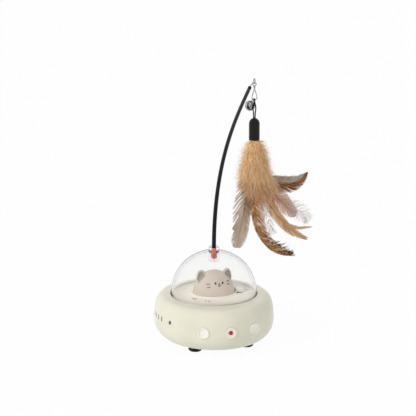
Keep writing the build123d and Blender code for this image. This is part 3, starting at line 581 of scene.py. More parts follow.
# Ink of the printed marks, also the colour of the painted shadow bar at the platform tab's foot.
MARK_INK_AND_SHADOW = Moulding("mark_ink", (104, 97, 85), (96, 89, 78), 0.5, 3000, 0.002)
PINK_INK = Moulding("pink_ink", (214, 178, 166), (206, 170, 158), 0.5, 3000, 0.002)
# Painted glow: the red laser lens gives off faint light of its own so it looks brighter.
LENS_RED = Moulding("laser_red", (196, 14, 34), (172, 8, 26), 0.12, 1500, 0.001, 0.3, 0.12, gloss=0.25)
NYLON = Moulding("gear_nylon", (226, 224, 214), (216, 213, 202), 0.45, 2200, 0.01)
PLATE_GREY = Moulding("plate_grey", (150, 150, 148), (140, 140, 138), 0.5, 2200, 0.01)
BOARD = Moulding("board_green", (30, 92, 58), (24, 78, 50), 0.4, 900, 0.01)
SLEEVE = Moulding("cell_sleeve", (60, 98, 150), (52, 88, 138), 0.35, 1200, 0.01)
SHAFT_HORN = Moulding("shaft_horn", (196, 168, 130), (150, 118, 84), 0.35, 1800, 0.006)
STEEL = Metal("steel", (176, 178, 182), (134, 136, 140))
# Painted reflection: the bell's near-black second tone gives dark patches that stand in for dark surroundings
# seen in its metal.
BELL = Metal("bell_metal", (186, 187, 190), (16, 16, 18), 0.12, 2500, 0.002)
BRASS = Metal("brass", (208, 172, 96), (178, 140, 74), 0.28)
CLEAR = ClearPlastic("clear_plastic", (252, 252, 252))
CORD_BLACK = Braid("loop_cord", (11, 11, 12), (30, 30, 32))

CAD_FINISHES = {
    CREAM: ["main_shell"],
    CREAM_DEEP: ["turntable_disc"],
    CREAM_PORT_PAINTED_HIGHLIGHT: ["port_left", "port_middle", "port_right", "power_button"],
    COVER_GREY: ["bottom_cover"],
    TAUPE: ["kitten_head"],
    RUBBER: ["foot_front_left", "foot_front_right", "foot_rear_left", "foot_rear_right"],
    CORAL: ["wand_plug"],
    BLACK_WAND: ["wand_rod"],
    BLACK_GLOSS: ["lure_cap"],
    BLACK_PART_AND_RECESS_SHADE: ["tact_switch"],
    LENS_RED: ["laser_lens"],
    NYLON: ["driven_gear", "idler_gear", "motor_pinion", "deck_bush"],
    PLATE_GREY: ["gear_plate"],
    BOARD: ["circuit_board"],
    SLEEVE: ["battery_cell"],
    STEEL: [
        "cover_screws", "plate_screws", "motor_screws", "motor_can", "motor_shaft", "hub_shaft",
        "idler_axle", "usb_socket", "wire_eye", "snap_link",
    ],
    BELL: ["bell_shell", "bell_staple", "bell_pellet"],
    BRASS: ["laser_barrel"],
    CLEAR: ["dome"],
}


class Finishes:
    """The materials made so far, so that each is built once."""

    def __init__(self) -> None:
        """Starts without any."""
        self.made: dict[str, Material] = {}

    def get(self, finish: Moulding | Metal | ClearPlastic | Braid | Plumage) -> Material:
        """Builds a finish's material the first time, and returns it each time.

        Args:
            finish: the finish.

        Returns:
            The material.
        """
        if finish.name not in self.made:
            self.made[finish.name] = finish.material()
        return self.made[finish.name]


FINISHES = Finishes()


def box_mm(node: str) -> tuple[Vector, Vector]:
    """Gives a node's lowest and highest corners at rest, in millimetres."""
    low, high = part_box(node)
    return Vector(low) / MM, Vector(high) / MM


def cap_foot() -> Vector:
    """Gives the middle of the lure cap's foot, in millimetres."""
    low, high = box_mm("lure_cap")
    return Vector(((low.x + high.x) / 2, (low.y + high.y) / 2, low.z))


def stand(name: str, data: bpy.types.ID) -> Thing:
    """Puts data into the scene as an object at the origin.

    Args:
        name: the object's name.
        data: its mesh, curve, lamp or camera.

    Returns:
        The object.
    """
    thing = bpy.data.objects.new(name, data)
    bpy.context.scene.collection.objects.link(thing)
    return thing


def new_piece(name: str, points: Sequence, faces: Sequence, materials: Sequence[Material] = ()) -> Thing:
    """Makes a mesh object whose place is in its mesh.

    Args:
        name: the piece's name.
        points: its vertices, in millimetres.
        faces: its faces.
        materials: its materials, in the order of its slots.

    Returns:
        The object.
    """
    mesh = bpy.data.meshes.new(name)
    places = np.asarray([tuple(point) for point in points], float) * MM
    mesh.from_pydata(places.tolist(), [], [list(face) for face in faces])
    for material in materials:
        mesh.materials.append(material)
    mesh.validate()
    return stand(name, mesh)


def from_form(name: str, form: bmesh.types.BMesh) -> Thing:
    """Makes a worked form an object, and frees the form.

    Args:
        name: the object's name.
        form: the form.

    Returns:
        The object.
    """
    mesh = bpy.data.meshes.new(name)
    form.to_mesh(mesh)
    form.free()
    return stand(name, mesh)


def smooth(piece: Thing) -> None:
    """Shades a piece smoothly."""
    piece.data.polygons.foreach_set("use_smooth", [True] * len(piece.data.polygons))


def settle(piece: Thing) -> Thing:
    """Turns a piece with live modifiers into a plain mesh piece.

    Args:
        piece: the piece, which is removed.

    Returns:
        The new piece, under the same name.
    """
    graph = bpy.context.evaluated_depsgraph_get()
    mesh = bpy.data.meshes.new_from_object(piece.evaluated_get(graph), depsgraph=graph)
    name = piece.name
    bpy.data.objects.remove(piece)
    return stand(name, mesh)


def seat(piece: Thing, body: Body) -> None:
    """Says which body a piece rides on.

    Args:
        piece: the piece.
        body: the body.
    """
    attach(piece, body.value)
    LOG.info("piece %s rides on %s with %d faces", piece.name, body.value, len(piece.data.polygons))


def dress_cad_nodes() -> None:
    """Gives every CAD node its finish."""
    for finish, nodes in CAD_FINISHES.items():
        for node in nodes:
            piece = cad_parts[node]
            if not piece.material_slots:
                piece.data.materials.append(None)
            for holder in piece.material_slots:
                holder.material = FINISHES.get(finish)
            LOG.info("node %s has finish %s", node, finish.name)


@dataclass(frozen=True)
class Lamp:
    """A square lamp: its place and side in metres, and its power in watts."""

    name: str
    place: Triple
    power: float
    size: float = 1.0


@dataclass(frozen=True)
class Studio:
    """Camera, lamps, floor and backdrop. Distances are in metres, and the photograph is square."""

    azimuth: float = -15.5
    ray_elevation: float = 0.3102
    distance: float = 2.5
    target_height: float = 0.047
    frame_pixels: float = 416.0
    focal_pixels: float = 2709.3
    target_pixel: tuple[float, float] = (214.21, 291.60)
    sensor: float = 36.0
    far_clip: float = 60.0
    floor_radius: float = 9.0
    floor_steps: int = 64
    floor_colour: Rgb = (244, 244, 243)
    floor_white: float = 0.96
    ambient: float = 0.6
    lamp_target: Triple = (0.0, -0.03, 0.08)
    lamps: tuple[Lamp, ...] = (
        Lamp("key", (-2.1, -0.95, 1.3), 29.0),
        Lamp("back", (0.5, 1.8, 1.2), 3.0),
        Lamp("fill", (0.9, -1.3, 0.6), 2.0),
    )

    def toward(self, elevation: float) -> Vector:
        """Gives a direction from the toy at the camera's azimuth.

        Args:
            elevation: its angle above the floor, in radians.

        Returns:
            The direction.
        """
        azimuth = math.radians(self.azimuth)
        level = math.cos(elevation)
        return Vector((math.sin(azimuth) * level, -math.cos(azimuth) * level, math.sin(elevation)))

    def camera(self) -> None:
        """Places the camera at the photograph's viewing angle."""
        half = self.frame_pixels / 2
        pitch = self.ray_elevation - math.atan((self.target_pixel[1] - half) / self.focal_pixels)
        yaw = math.atan((self.target_pixel[0] - half) / self.focal_pixels)
        forward = Matrix.Rotation(yaw, 3, "Z") @ -self.toward(pitch)
        data = bpy.data.cameras.new("camera")
        data.sensor_width = self.sensor
        data.lens = self.focal_pixels / self.frame_pixels * self.sensor
        data.clip_end = self.far_clip
        camera = stand("camera", data)
        camera.location = Vector((0, 0, self.target_height)) + self.toward(self.ray_elevation) * self.distance
        camera.rotation_euler = forward.to_track_quat("-Z", "Y").to_euler()
        bpy.context.scene.camera = camera

    def light(self, lamp: Lamp) -> None:
        """Adds a lamp aimed at the toy, which shows in no reflection.

        Args:
            lamp: the lamp.
        """
        data = bpy.data.lights.new(lamp.name, "AREA")
        data.size = lamp.size
        data.energy = lamp.power
        thing = stand(lamp.name, data)
        thing.visible_glossy = False
        thing.visible_transmission = False
        thing.location = lamp.place
        aim = Vector(self.lamp_target) - Vector(lamp.place)
        thing.rotation_euler = aim.to_track_quat("-Z", "Y").to_euler()

    def backdrop_share(self, nodes: Nodes) -> Socket:
        """Marks the rays that see the backdrop directly, in a mirror or through glass.

        Args:
            nodes: the tree's calls.

        Returns:
            1 for those rays, and 0 for the others.
        """
        path = nodes.add("ShaderNodeLightPath").outputs
        seen = nodes.math("MAXIMUM", path["Is Camera Ray"], path["Is Glossy Ray"])
        return nodes.math("MAXIMUM", seen, path["Is Transmission Ray"])

    def world(self) -> None:
        """White where it shows, and a plain soft light elsewhere."""
        world = bpy.data.worlds.new("studio")
        world.use_nodes = True
        bpy.context.scene.world = world
        nodes = Nodes(world.node_tree)
        background = world.node_tree.nodes["Background"]
        level = nodes.spread(self.backdrop_share(nodes), 0.0, 1.0, (self.ambient, 1.0))
        nodes.feed(background.inputs["Color"], WHITE)
        nodes.feed(background.inputs["Strength"], level)

    def floor(self) -> None:
        """A plain pale floor that keeps a faint shadow."""
        turns = [2 * math.pi * step / self.floor_steps for step in range(self.floor_steps)]
        rim = [(math.cos(turn) * self.floor_radius, math.sin(turn) * self.floor_radius, 0) for turn in turns]
        mesh = bpy.data.meshes.new("floor")
        mesh.from_pydata(rim, [], [range(self.floor_steps)])
        floor = stand("floor", mesh)
        surface = Surface("floor")
        values = {"Base Color": paint(self.floor_colour), "Roughness": 0.9, "Specular IOR Level": 0.1}
        mesh.materials.append(surface.finish(values))
        white = surface.add("ShaderNodeEmission", {"Color": WHITE, "Strength": 1.0})
        surface.blend(surface.math("MULTIPLY", self.backdrop_share(surface), self.floor_white), white)

    def build(self) -> None:
        """Builds the camera, the lamps, the world and the floor."""
        bpy.context.scene.view_settings.view_transform = "Standard"
        self.camera()
        for lamp in self.lamps:
            self.light(lamp)
        self.world()
        self.floor()
        LOG.info("studio is up")


class Inlay:
    """Printed marks, and a painted shadow bar, pressed on a surface: closed thin slabs that follow it. Sizes
    are in millimetres.
    """

    STEPS = 20
    SINK = 0.25
    START = 60
    CROWN = 1.3
    CROWN_SHARE = 0.75

    def __init__(self, target: Thing, look: Triple, right: Triple, up: Triple, proud: float = 0.05) -> None:
        """Reads the surface.

        Args:
            target: the piece that carries the marks.
            look: the direction in which the marks are pressed on.
            right: the direction of their width.
            up: the direction of their height.
            proud: how far they stand out.
        """
        self.tree = BVHTree.FromObject(target, bpy.context.evaluated_depsgraph_get())
        self.look, self.right, self.up = Vector(look), Vector(right), Vector(up)
        self.proud = proud
        self.points: list[Vector] = []
        self.faces: list[list[int]] = []

    def drop(self, point: Vector) -> tuple[Vector, Vector]:
        """Presses a point onto the surface.

        Args:
            point: the point.

        Returns:
            The place and the surface's normal there.
        """
        place, normal, _, _ = self.tree.ray_cast((point - self.look * self.START) * MM, self.look)
        if place is None:
            return point, -self.look
        return place / MM, normal

    def mark(self, centre: Vector, width: float, height: float, turn: float = 0.0) -> None:
        """Adds one rounded bar or dot.

        Args:
            centre: a point near its middle.
            width: its width.
            height: its height.
            turn: its turn in degrees, anticlockwise.
        """
        first = len(self.points)
        tilt = Matrix.Rotation(math.radians(turn), 2)
        radius = min(width, height) / 2
        flat_x, flat_y = width / 2 - radius, height / 2 - radius
        crown = self.proud * self.CROWN
        for share, lift in ((self.CROWN_SHARE, crown), (1.0, 0.0), (1.0, -self.SINK)):
            for step in range(self.STEPS):
                angle = 2 * math.pi * (step + 0.5) / self.STEPS
                x = math.cos(angle) * radius + math.copysign(flat_x, math.cos(angle))
                y = math.sin(angle) * radius + math.copysign(flat_y, math.sin(angle))
                flat = tilt @ Vector((x * share, y * share))
                place, normal = self.drop(centre + self.right * flat.x + self.up * flat.y)
                self.points.append(place + normal * lift)
        place, normal = self.drop(centre)
        top = len(self.points)
        self.points += [place + normal * crown, place - normal * self.SINK]
        for step in range(self.STEPS):
            after = (step + 1) % self.STEPS
            self.faces.append([top, first + step, first + after])
            for low in (first, first + self.STEPS):
                high = low + self.STEPS
                self.faces.append([low + step, high + step, high + after, low + after])
            last = first + 2 * self.STEPS
            self.faces.append([last + step, top + 1, last + after])

    def rows(self, origin: Vector, marks: Sequence[Mark]) -> "Inlay":
        """Adds several marks.

        Args:
            origin: where the marks are measured from.
            marks: each as (across, along, width, height, turn).

        Returns:
            The inlay itself.
        """
        for across, along, width, height, turn in marks:
            self.mark(origin + self.right * across + self.up * along, width, height, turn)
        return self

    def piece(self, name: str, finish: Moulding, body: Body) -> None:
        """Makes the marks one piece on a body.

        Args:
            name: the piece's name.
            finish: its finish.
            body: the body.
        """
        made = new_piece(name, self.points, self.faces, [FINISHES.get(finish)])
        smooth(made)
        seat(made, body)


def geometry_tree(name: str, inputs: dict[str, str]) -> tuple[Nodes, bpy.types.Node, bpy.types.Node]:
    """Starts a Geometry Nodes tree.

    Args:
        name: the tree's name.
        inputs: socket kinds by name, besides the geometry and the finish.

    Returns:
        The tree's calls, its input node and its output node.
    """
    nodes = Nodes(bpy.data.node_groups.new(name, "GeometryNodeTree"))
    add_sockets(nodes.tree, "INPUT", {"Geometry": "Geometry", **inputs, "Finish": "Material"})
    add_sockets(nodes.tree, "OUTPUT", {"Geometry": "Geometry"})
    return nodes, nodes.add("NodeGroupInput"), nodes.add("NodeGroupOutput")


def end_tree(nodes: Nodes, copies: Socket, given: bpy.types.Node, wanted: bpy.types.Node) -> None:
    """Makes a tree's copies real, gives them the finish and ends the tree.

    Args:
        nodes: the tree's calls.
        copies: the copies.
        given: the tree's input node.
        wanted: the tree's output node.
    """
    real = nodes.add("GeometryNodeRealizeInstances", {"Geometry": copies})
    inputs = {"Geometry": real.outputs[0], "Material": given.outputs["Finish"]}
    nodes.feed(wanted.inputs[0], nodes.add("GeometryNodeSetMaterial", inputs).outputs[0])


def run_tree(piece: Thing, tree: Tree, values: dict[str, object]) -> Thing:
    """Runs a Geometry Nodes tree on a piece.

    Args:
        piece: the piece, which is replaced.
        tree: the tree.
        values: the modifier's inputs by name.

    Returns:
        The plain mesh piece that comes out.
    """
    modifier = piece.modifiers.new(tree.name, "NODES")
    modifier.node_group = tree
    sockets = {item.name: item.identifier for item in tree.interface.items_tree if item.in_out == "INPUT"}
    for label, value in values.items():
        modifier[sockets[label]] = value
    return settle(piece)


@dataclass
class Housing:
    """The housing's printed marks and the painted shade in its screws' cross recesses, in millimetres and
    degrees from the front.
    """

    bar_azimuths: tuple[float, ...] = (-97.0, -90.0, -83.0, -76.0)
    bar_size: tuple[float, float] = (1.7, 4.8)
    dot_azimuth: float = -62.0
    dot_size: tuple[float, float] = (3.6, 3.6)
    mark_height: float = 29.4
    mark_reach: float = 50.0
    screw_cross: float = 2.6
    screw_slot: float = 0.55
    screw_depth: float = 0.06
    screw_gap: float = 8.0

    def marks(self) -> None:
        """Prints a row of plain bars and a dot on the left."""
        made = Inlay(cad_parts["main_shell"], (0, 1, 0), (1, 0, 0), (0, 0, 1))
        bars = [(azimuth, self.bar_size) for azimuth in self.bar_azimuths]
        for azimuth, size in [*bars, (self.dot_azimuth, self.dot_size)]:
            turn = math.radians(azimuth)
            out = Vector((math.sin(turn), -math.cos(turn), 0))
            made.look = -out
            made.right = Vector((math.cos(turn), math.sin(turn), 0))
            made.mark(out * self.mark_reach + Vector((0, 0, self.mark_height)), *size)
        made.piece("housing_marks", MARK_INK_AND_SHADOW, Body.BASE)

    def screw_places(self) -> list[tuple[float, float]]:
        """Finds the cover screws by the middles of their clusters of vertices.

        Returns:
            Their places across the floor, in millimetres.
        """
        groups: list[list[Vector]] = []
        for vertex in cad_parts["cover_screws"].data.vertices:
            place = vertex.co / MM
            near = [group for group in groups if (group[0] - place).to_2d().length < self.screw_gap]
            if near:
                near[0].append(place)
            else:
                groups.append([place])
        middles = []
        for group in groups:
            xs, ys = [p.x for p in group], [p.y for p in group]
            middles.append(((min(xs) + max(xs)) / 2, (min(ys) + max(ys)) / 2))
        return middles

    def cross(self) -> Thing:
        """Builds one cross of painted recess shade, centred on the origin.

        Returns:
            The cross.
        """
        half, slot, depth = self.screw_cross / 2, self.screw_slot / 2, self.screw_depth
        corner = [(half, slot), (slot, slot), (slot, half)]
        outline: list[tuple[float, float]] = []
        for _ in range(4):
            outline += corner
            corner = [(-y, x) for x, y in corner]
        count = len(outline)
        points = [(x, y, z) for z in (-depth, depth) for x, y in outline]
        faces = [list(range(count))[::-1], list(range(count, 2 * count))]
        for step in range(count):
            after = (step + 1) % count
            faces.append([step, after, after + count, step + count])
        return new_piece("screw_cross_form", points, faces)

    def screw_crosses(self) -> None:
        """Sets a dark cross of painted shade in each cover screw's recess, from one cross and four points."""
        low, _ = box_mm("cover_screws")
        form = self.cross()
        carrier = new_piece("screw_crosses", [(x, y, low.z) for x, y in self.screw_places()], [])
        nodes, given, wanted = geometry_tree("form_on_points", {"Form": "Object"})
        info = nodes.add("GeometryNodeObjectInfo", {"Object": given.outputs["Form"]})
        inputs = {"Points": given.outputs["Geometry"], "Instance": info.outputs["Geometry"]}
        copies = nodes.add("GeometryNodeInstanceOnPoints", inputs)
        end_tree(nodes, copies.outputs[0], given, wanted)
        piece = run_tree(carrier, nodes.tree, {"Form": form, "Finish": FINISHES.get(BLACK_PART_AND_RECESS_SHADE)})
        bpy.data.objects.remove(form)
        seat(piece, Body.BASE)

    def build(self) -> None:
        """Builds the housing's marks and the screws' painted recess shade."""
        self.marks()
        self.screw_crosses()


@dataclass
class KittenHead:
    """Moulded head with soft joins, round hollowed ears and a plain face. Sizes are in millimetres.

    A face mark is (across, height, width, tall, turn), across from the face's middle.
    """

    voxel: float = 0.55
    soften_rounds: int = 10
    merge: float = 0.01
    ear_place: Triple = (11.9, 0.6, 61.4)
    ear_half: Triple = (5.2, 3.4, 7.5)
    ear_tilt: float = 14.0
    ear_taper: float = 0.34
    hollow: tuple[float, float] = (4.3, 6.5)
    hollow_depth: float = 1.5
    hollow_slope: float = 2.6
    hollow_edge: float = 0.02
    hollow_span: tuple[float, float] = (-5.4, -0.8)
    face_x: float = 1.3
    print_proud: float = 0.1
    face_marks: tuple[Mark, ...] = (
        (-3.4, 58.9, 1.5, 2.3, 8.0),
        (-0.62, 56.6, 1.5, 0.75, -28.0),
        (3.4, 58.9, 1.5, 2.3, -8.0),
        (0.62, 56.6, 1.5, 0.75, 28.0),
        (0.0, 58.1, 1.6, 1.2, 0.0),
        (9.2, 59.4, 2.9, 0.7, 6.0),
        (9.2, 56.8, 2.9, 0.7, -4.0),
    )
    blush_marks: tuple[Mark, ...] = ((-9.8, 58.2, 3.4, 0.75, 0.0), (-9.8, 55.6, 3.4, 0.75, 18.0))

    def ear(self, side: int) -> Thing:
        """Builds one ear's rounded blade.

        Args:
            side: -1 for the left ear, and 1 for the right.

        Returns:
            The ear, to be joined to the head.
        """
        form = bmesh.new()
        place = Matrix.Translation(Vector((side * self.ear_place[0], *self.ear_place[1:])) * MM)
        turn = Matrix.Rotation(math.radians(side * self.ear_tilt), 4, "Y")
        grow = Matrix.Diagonal((*[half * MM for half in self.ear_half], 1.0))
        bmesh.ops.create_icosphere(form, subdivisions=4, radius=1.0)
        for vertex in form.verts:
            vertex.co.x *= 1 - self.ear_taper * vertex.co.z
        bmesh.ops.transform(form, matrix=place @ turn @ grow, verts=form.verts)
        return from_form("ear_form", form)

    def in_ear(self, place: Vector) -> float:
        """Says how far inside an ear's hollow a place is.

        Args:
            place: the place.

        Returns:
            0 at the hollow's edge and beyond, to 1 at its middle.
        """
        side = 1 if place.x > 0 else -1
        tilt = math.radians(side * self.ear_tilt)
        across, up = place.x - side * self.ear_place[0], place.z - self.ear_place[2]
        wide = across * math.cos(tilt) - up * math.sin(tilt)
        tall = across * math.sin(tilt) + up * math.cos(tilt)
        back = place.y - self.ear_place[1]
        if not self.hollow_span[0] <= back <= self.hollow_span[1]:
            return 0.0
        share = tall / self.hollow[1]
        width = self.hollow[0] * max(0.2, 1 - self.ear_taper * share)
        return max(0.0, 1 - math.hypot(wide / width, share))

    def form(self) -> Thing:
        """Joins the ears to a copy of the CAD head, smooths the joins and hollows the ears' fronts.

        Returns:
            The head.
        """
        joined = bmesh.new()
        joined.from_mesh(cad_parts["kitten_head"].data)
        bmesh.ops.remove_doubles(joined, verts=joined.verts, dist=self.merge * MM)
        ears = [self.ear(side) for side in (-1, 1)]
        for ear in ears:
            joined.from_mesh(ear.data)
            bpy.data.objects.remove(ear)
        head = from_form("head_form", joined)
        remesh = head.modifiers.new("remesh", "REMESH")
        remesh.mode = "VOXEL"
        remesh.voxel_size = self.voxel * MM
        soften = head.modifiers.new("soften", "SMOOTH")
        soften.factor = 0.5
        soften.iterations = self.soften_rounds
        head = settle(head)
        for vertex in head.data.vertices:
            sink = min(1.0, self.in_ear(vertex.co / MM) * self.hollow_slope)
            vertex.co.y += self.hollow_depth * sink * MM
        head.data.materials.clear()
        for finish in (TAUPE, EAR_OLIVE):
            head.data.materials.append(FINISHES.get(finish))
        ahead = Vector((0, self.ear_place[1], 0))
        for polygon in head.data.polygons:
            polygon.material_index = int(self.in_ear(polygon.center / MM - ahead) > self.hollow_edge)
        smooth(head)
        seat(head, Body.TURNTABLE)
        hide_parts("kitten_head")
        return head

    def build(self) -> None:
        """Builds the head and prints its eyes, nose, mouth and whiskers."""
        head = self.form()
        middle = Vector((self.face_x, 0, 0))
        prints = (("face_print", INK, self.face_marks), ("whisker_print", BLUSH_INK, self.blush_marks))
        for name, ink, marks in prints:
            made = Inlay(head, (0, 1, 0), (1, 0, 0), (0, 0, 1), self.print_proud)
            made.rows(middle, marks).piece(name, ink, Body.TURNTABLE)


@dataclass
class Platform:
    """The platform's small printed marks, a painted shadow bar at the tab's foot and the tab beside the head,
    in millimetres.

    A mark is (x, y, width, height, turn).
    """

    marks: tuple[Mark, ...] = (
        (-22.2, -13.7, 5.0, 1.5, -38.0),
        (-13.8, -22.2, 1.2, 1.2, 0.0),
        (-10.9, -24.2, 1.9, 1.6, -20.0),
        # Painted shadow: a dark bar along the tab's front foot, where the tab shades the platform.
        (22.6, -6.9, 8.6, 1.0, 8.0),
    )
    faint_marks: tuple[Mark, ...] = ((-22.7, 19.5, 2.6, 1.0, 0.0),)
    print_proud: float = 0.03
    tab_low: Triple = (19.4, -5.4, 45.6)
    tab_high: Triple = (26.8, 1.6, 50.2)
    tab_bevel: float = 0.7

    def press(self, name: str, ink: Moulding, marks: Sequence[Mark]) -> None:
        """Prints marks on the platform's top; the main set holds a painted shadow bar too.

        Args:
            name: the piece's name.
            ink: its finish.
            marks: the marks.
        """
        _, high = box_mm("turntable_disc")
        made = Inlay(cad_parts["turntable_disc"], (0, 0, -1), (1, 0, 0), (0, 1, 0), self.print_proud)
        made.rows(Vector((0, 0, high.z)), marks).piece(name, ink, Body.TURNTABLE)

    def tab(self) -> None:
        """Builds the white tab with rounded edges."""
        low, high = Vector(self.tab_low), Vector(self.tab_high)
        form = bmesh.new()
        grow = Matrix.Translation((low + high) / 2 * MM) @ Matrix.Diagonal((*((high - low) * MM), 1.0))
        bmesh.ops.create_cube(form, size=1.0, matrix=grow)
        bevel = {"offset": self.tab_bevel * MM, "segments": 4, "affect": "EDGES", "profile": 0.5}
        bmesh.ops.bevel(form, geom=form.edges[:], **bevel)
        tab = from_form("tab", form)
        tab.data.materials.append(FINISHES.get(CREAM_TAB))
        smooth(tab)
        seat(tab, Body.TURNTABLE)
        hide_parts("head_tab")

    def build(self) -> None:
        """Builds the marks, the painted shadow bar and the tab."""
        self.press("platform_marks", MARK_INK_AND_SHADOW, self.marks)
        self.tab()
        self.press("platform_faint_mark", PINK_INK, self.faint_marks)


class StrandMesh:
    """Thin closed three-sided strands gathered into one mesh with a UV map and a shade."""

    def __init__(self) -> None:
        """Starts an empty mesh."""
        self.points: list[Vector] = []
        self.faces: list[list[int]] = []
        self.uvs: list[tuple[float, float]] = []
        self.shades: list[float] = []
        self.kinds: list[int] = []

    def add(
        self, line: Sequence[Vector], flat: Sequence[Vector], widths: Sequence[float],
        uvs: Sequence[tuple[float, float]], shade: float, kind: int = 0, body: float = 0.45,
    ) -> None:
        """Adds a strand that ends in a point.

        Args:
            line: its centre line, in millimetres.
            flat: the direction across it at each point.
            widths: its width at each point.
            uvs: its UV at each point.
            shade: its own shade.
            kind: the number of its material.
            body: its thickness as a share of its width.
        """
        first = len(self.points)
        rings = len(line) - 1
        for index in range(rings):
            ahead = (line[index + 1] - line[max(index - 1, 0)]).normalized()
            side = flat[index] * (widths[index] / 2)
            over = flat[index].cross(ahead) * widths[index] * body
            self.points += [line[index] - side, line[index] + side, line[index] + over]
            self.uvs += [uvs[index]] * 3
        self.points.append(line[-1])
        self.uvs.append(uvs[-1])
        self.shades += [shade] * (3 * rings + 1)
        self.kinds += [kind] * (3 * rings + 1)
        self.faces.append([first, first + 2, first + 1])
        for low in range(first, first + 3 * (rings - 1), 3):
            for corner in range(3):
                after = (corner + 1) % 3
                self.faces.append([low + corner, low + after, low + 3 + after, low + 3 + corner])
        last = first + 3 * (rings - 1)
        for corner in range(3):
            self.faces.append([last + corner, last + (corner + 1) % 3, first + 3 * rings])

    def piece(self, name: str, materials: Sequence[Material] = ()) -> Thing:
        """Makes the strands a piece.

        Args:
            name: its name.
            materials: its materials, by the strands' kinds.

        Returns:
            The object.
        """
        made = new_piece(name, self.points, self.faces, materials)
        mesh = made.data
        corners = np.zeros(len(mesh.loops), dtype=np.int32)
        mesh.loops.foreach_get("vertex_index", corners)
        add_strand_data(mesh, np.array(self.uvs, float)[corners], self.shades)
        mesh.polygons.foreach_set("material_index", self.kinds)
        smooth(made)
        return made


def add_strand_data(mesh: bpy.types.Mesh, uvs: np.ndarray, shades: Sequence[float]) -> None:
    """Gives a mesh its UV map, one row for each corner, and its shade, one value for each vertex."""
    mesh.uv_layers.new(name="strand").data.foreach_set("uv", uvs.ravel())
    mesh.attributes.new("shade", "FLOAT", "POINT").data.foreach_set("value", shades)


def smooth_stations(stations: Sequence[Sequence[float]], count: int, between: int = 16) -> np.ndarray:
    """Runs a smooth curve through stations.

    Args:
        stations: rows of values, the first two of which are a place.
        count: how many rows to return.
        between: how many steps the curve takes from one station to the next.

    Returns:
        Rows at even steps along the curve.
    """
    rows = np.array([stations[0], *stations, stations[-1]], float)
    fine = []
    for index in range(1, len(rows) - 2):
        before, start, end, after = rows[index - 1:index + 3]
        for t in np.arange(between) / between:
            fine.append(0.5 * (
                2 * start + (end - before) * t + (2 * before - 5 * start + 4 * end - after) * t**2
                + (3 * start - before - 3 * end + after) * t**3
            ))
    fine = np.array([*fine, rows[-1]])
    lengths = np.concatenate([[0], np.cumsum(np.linalg.norm(np.diff(fine[:, :2], axis=0), axis=1))])
    wanted = np.linspace(0, lengths[-1], count)
    return np.stack([np.interp(wanted, lengths, column) for column in fine.T], axis=1)


@dataclass(frozen=True)
class Vane:
    """One vane, or a loose part of one.

    Each station is (across, drop, low, high): a point of the shaft in millimetres from the middle
    of the cap's foot, and how far barbs reach on the left or lower side and on the right or upper
    side. The sweep is the barbs' angle to the shaft at its start and its end, in degrees. The
    splits are how strongly barbs draw together on each side.
    """

    stations: tuple[Station, ...]
    kind: int = 0
    pitch: float = 0.3
    sweep: tuple[float, float] = (50.0, 26.0)
    splits: tuple[float, float] = (0.1, 0.1)
    clump: float = 3.0
    bare: float = 0.0
    curl: float = 0.0
    shaft: float = 0.8
    ragged: float = 0.06
    depth: float = 0.0
    fullness: float = 2.1
    gather: float = 2.2


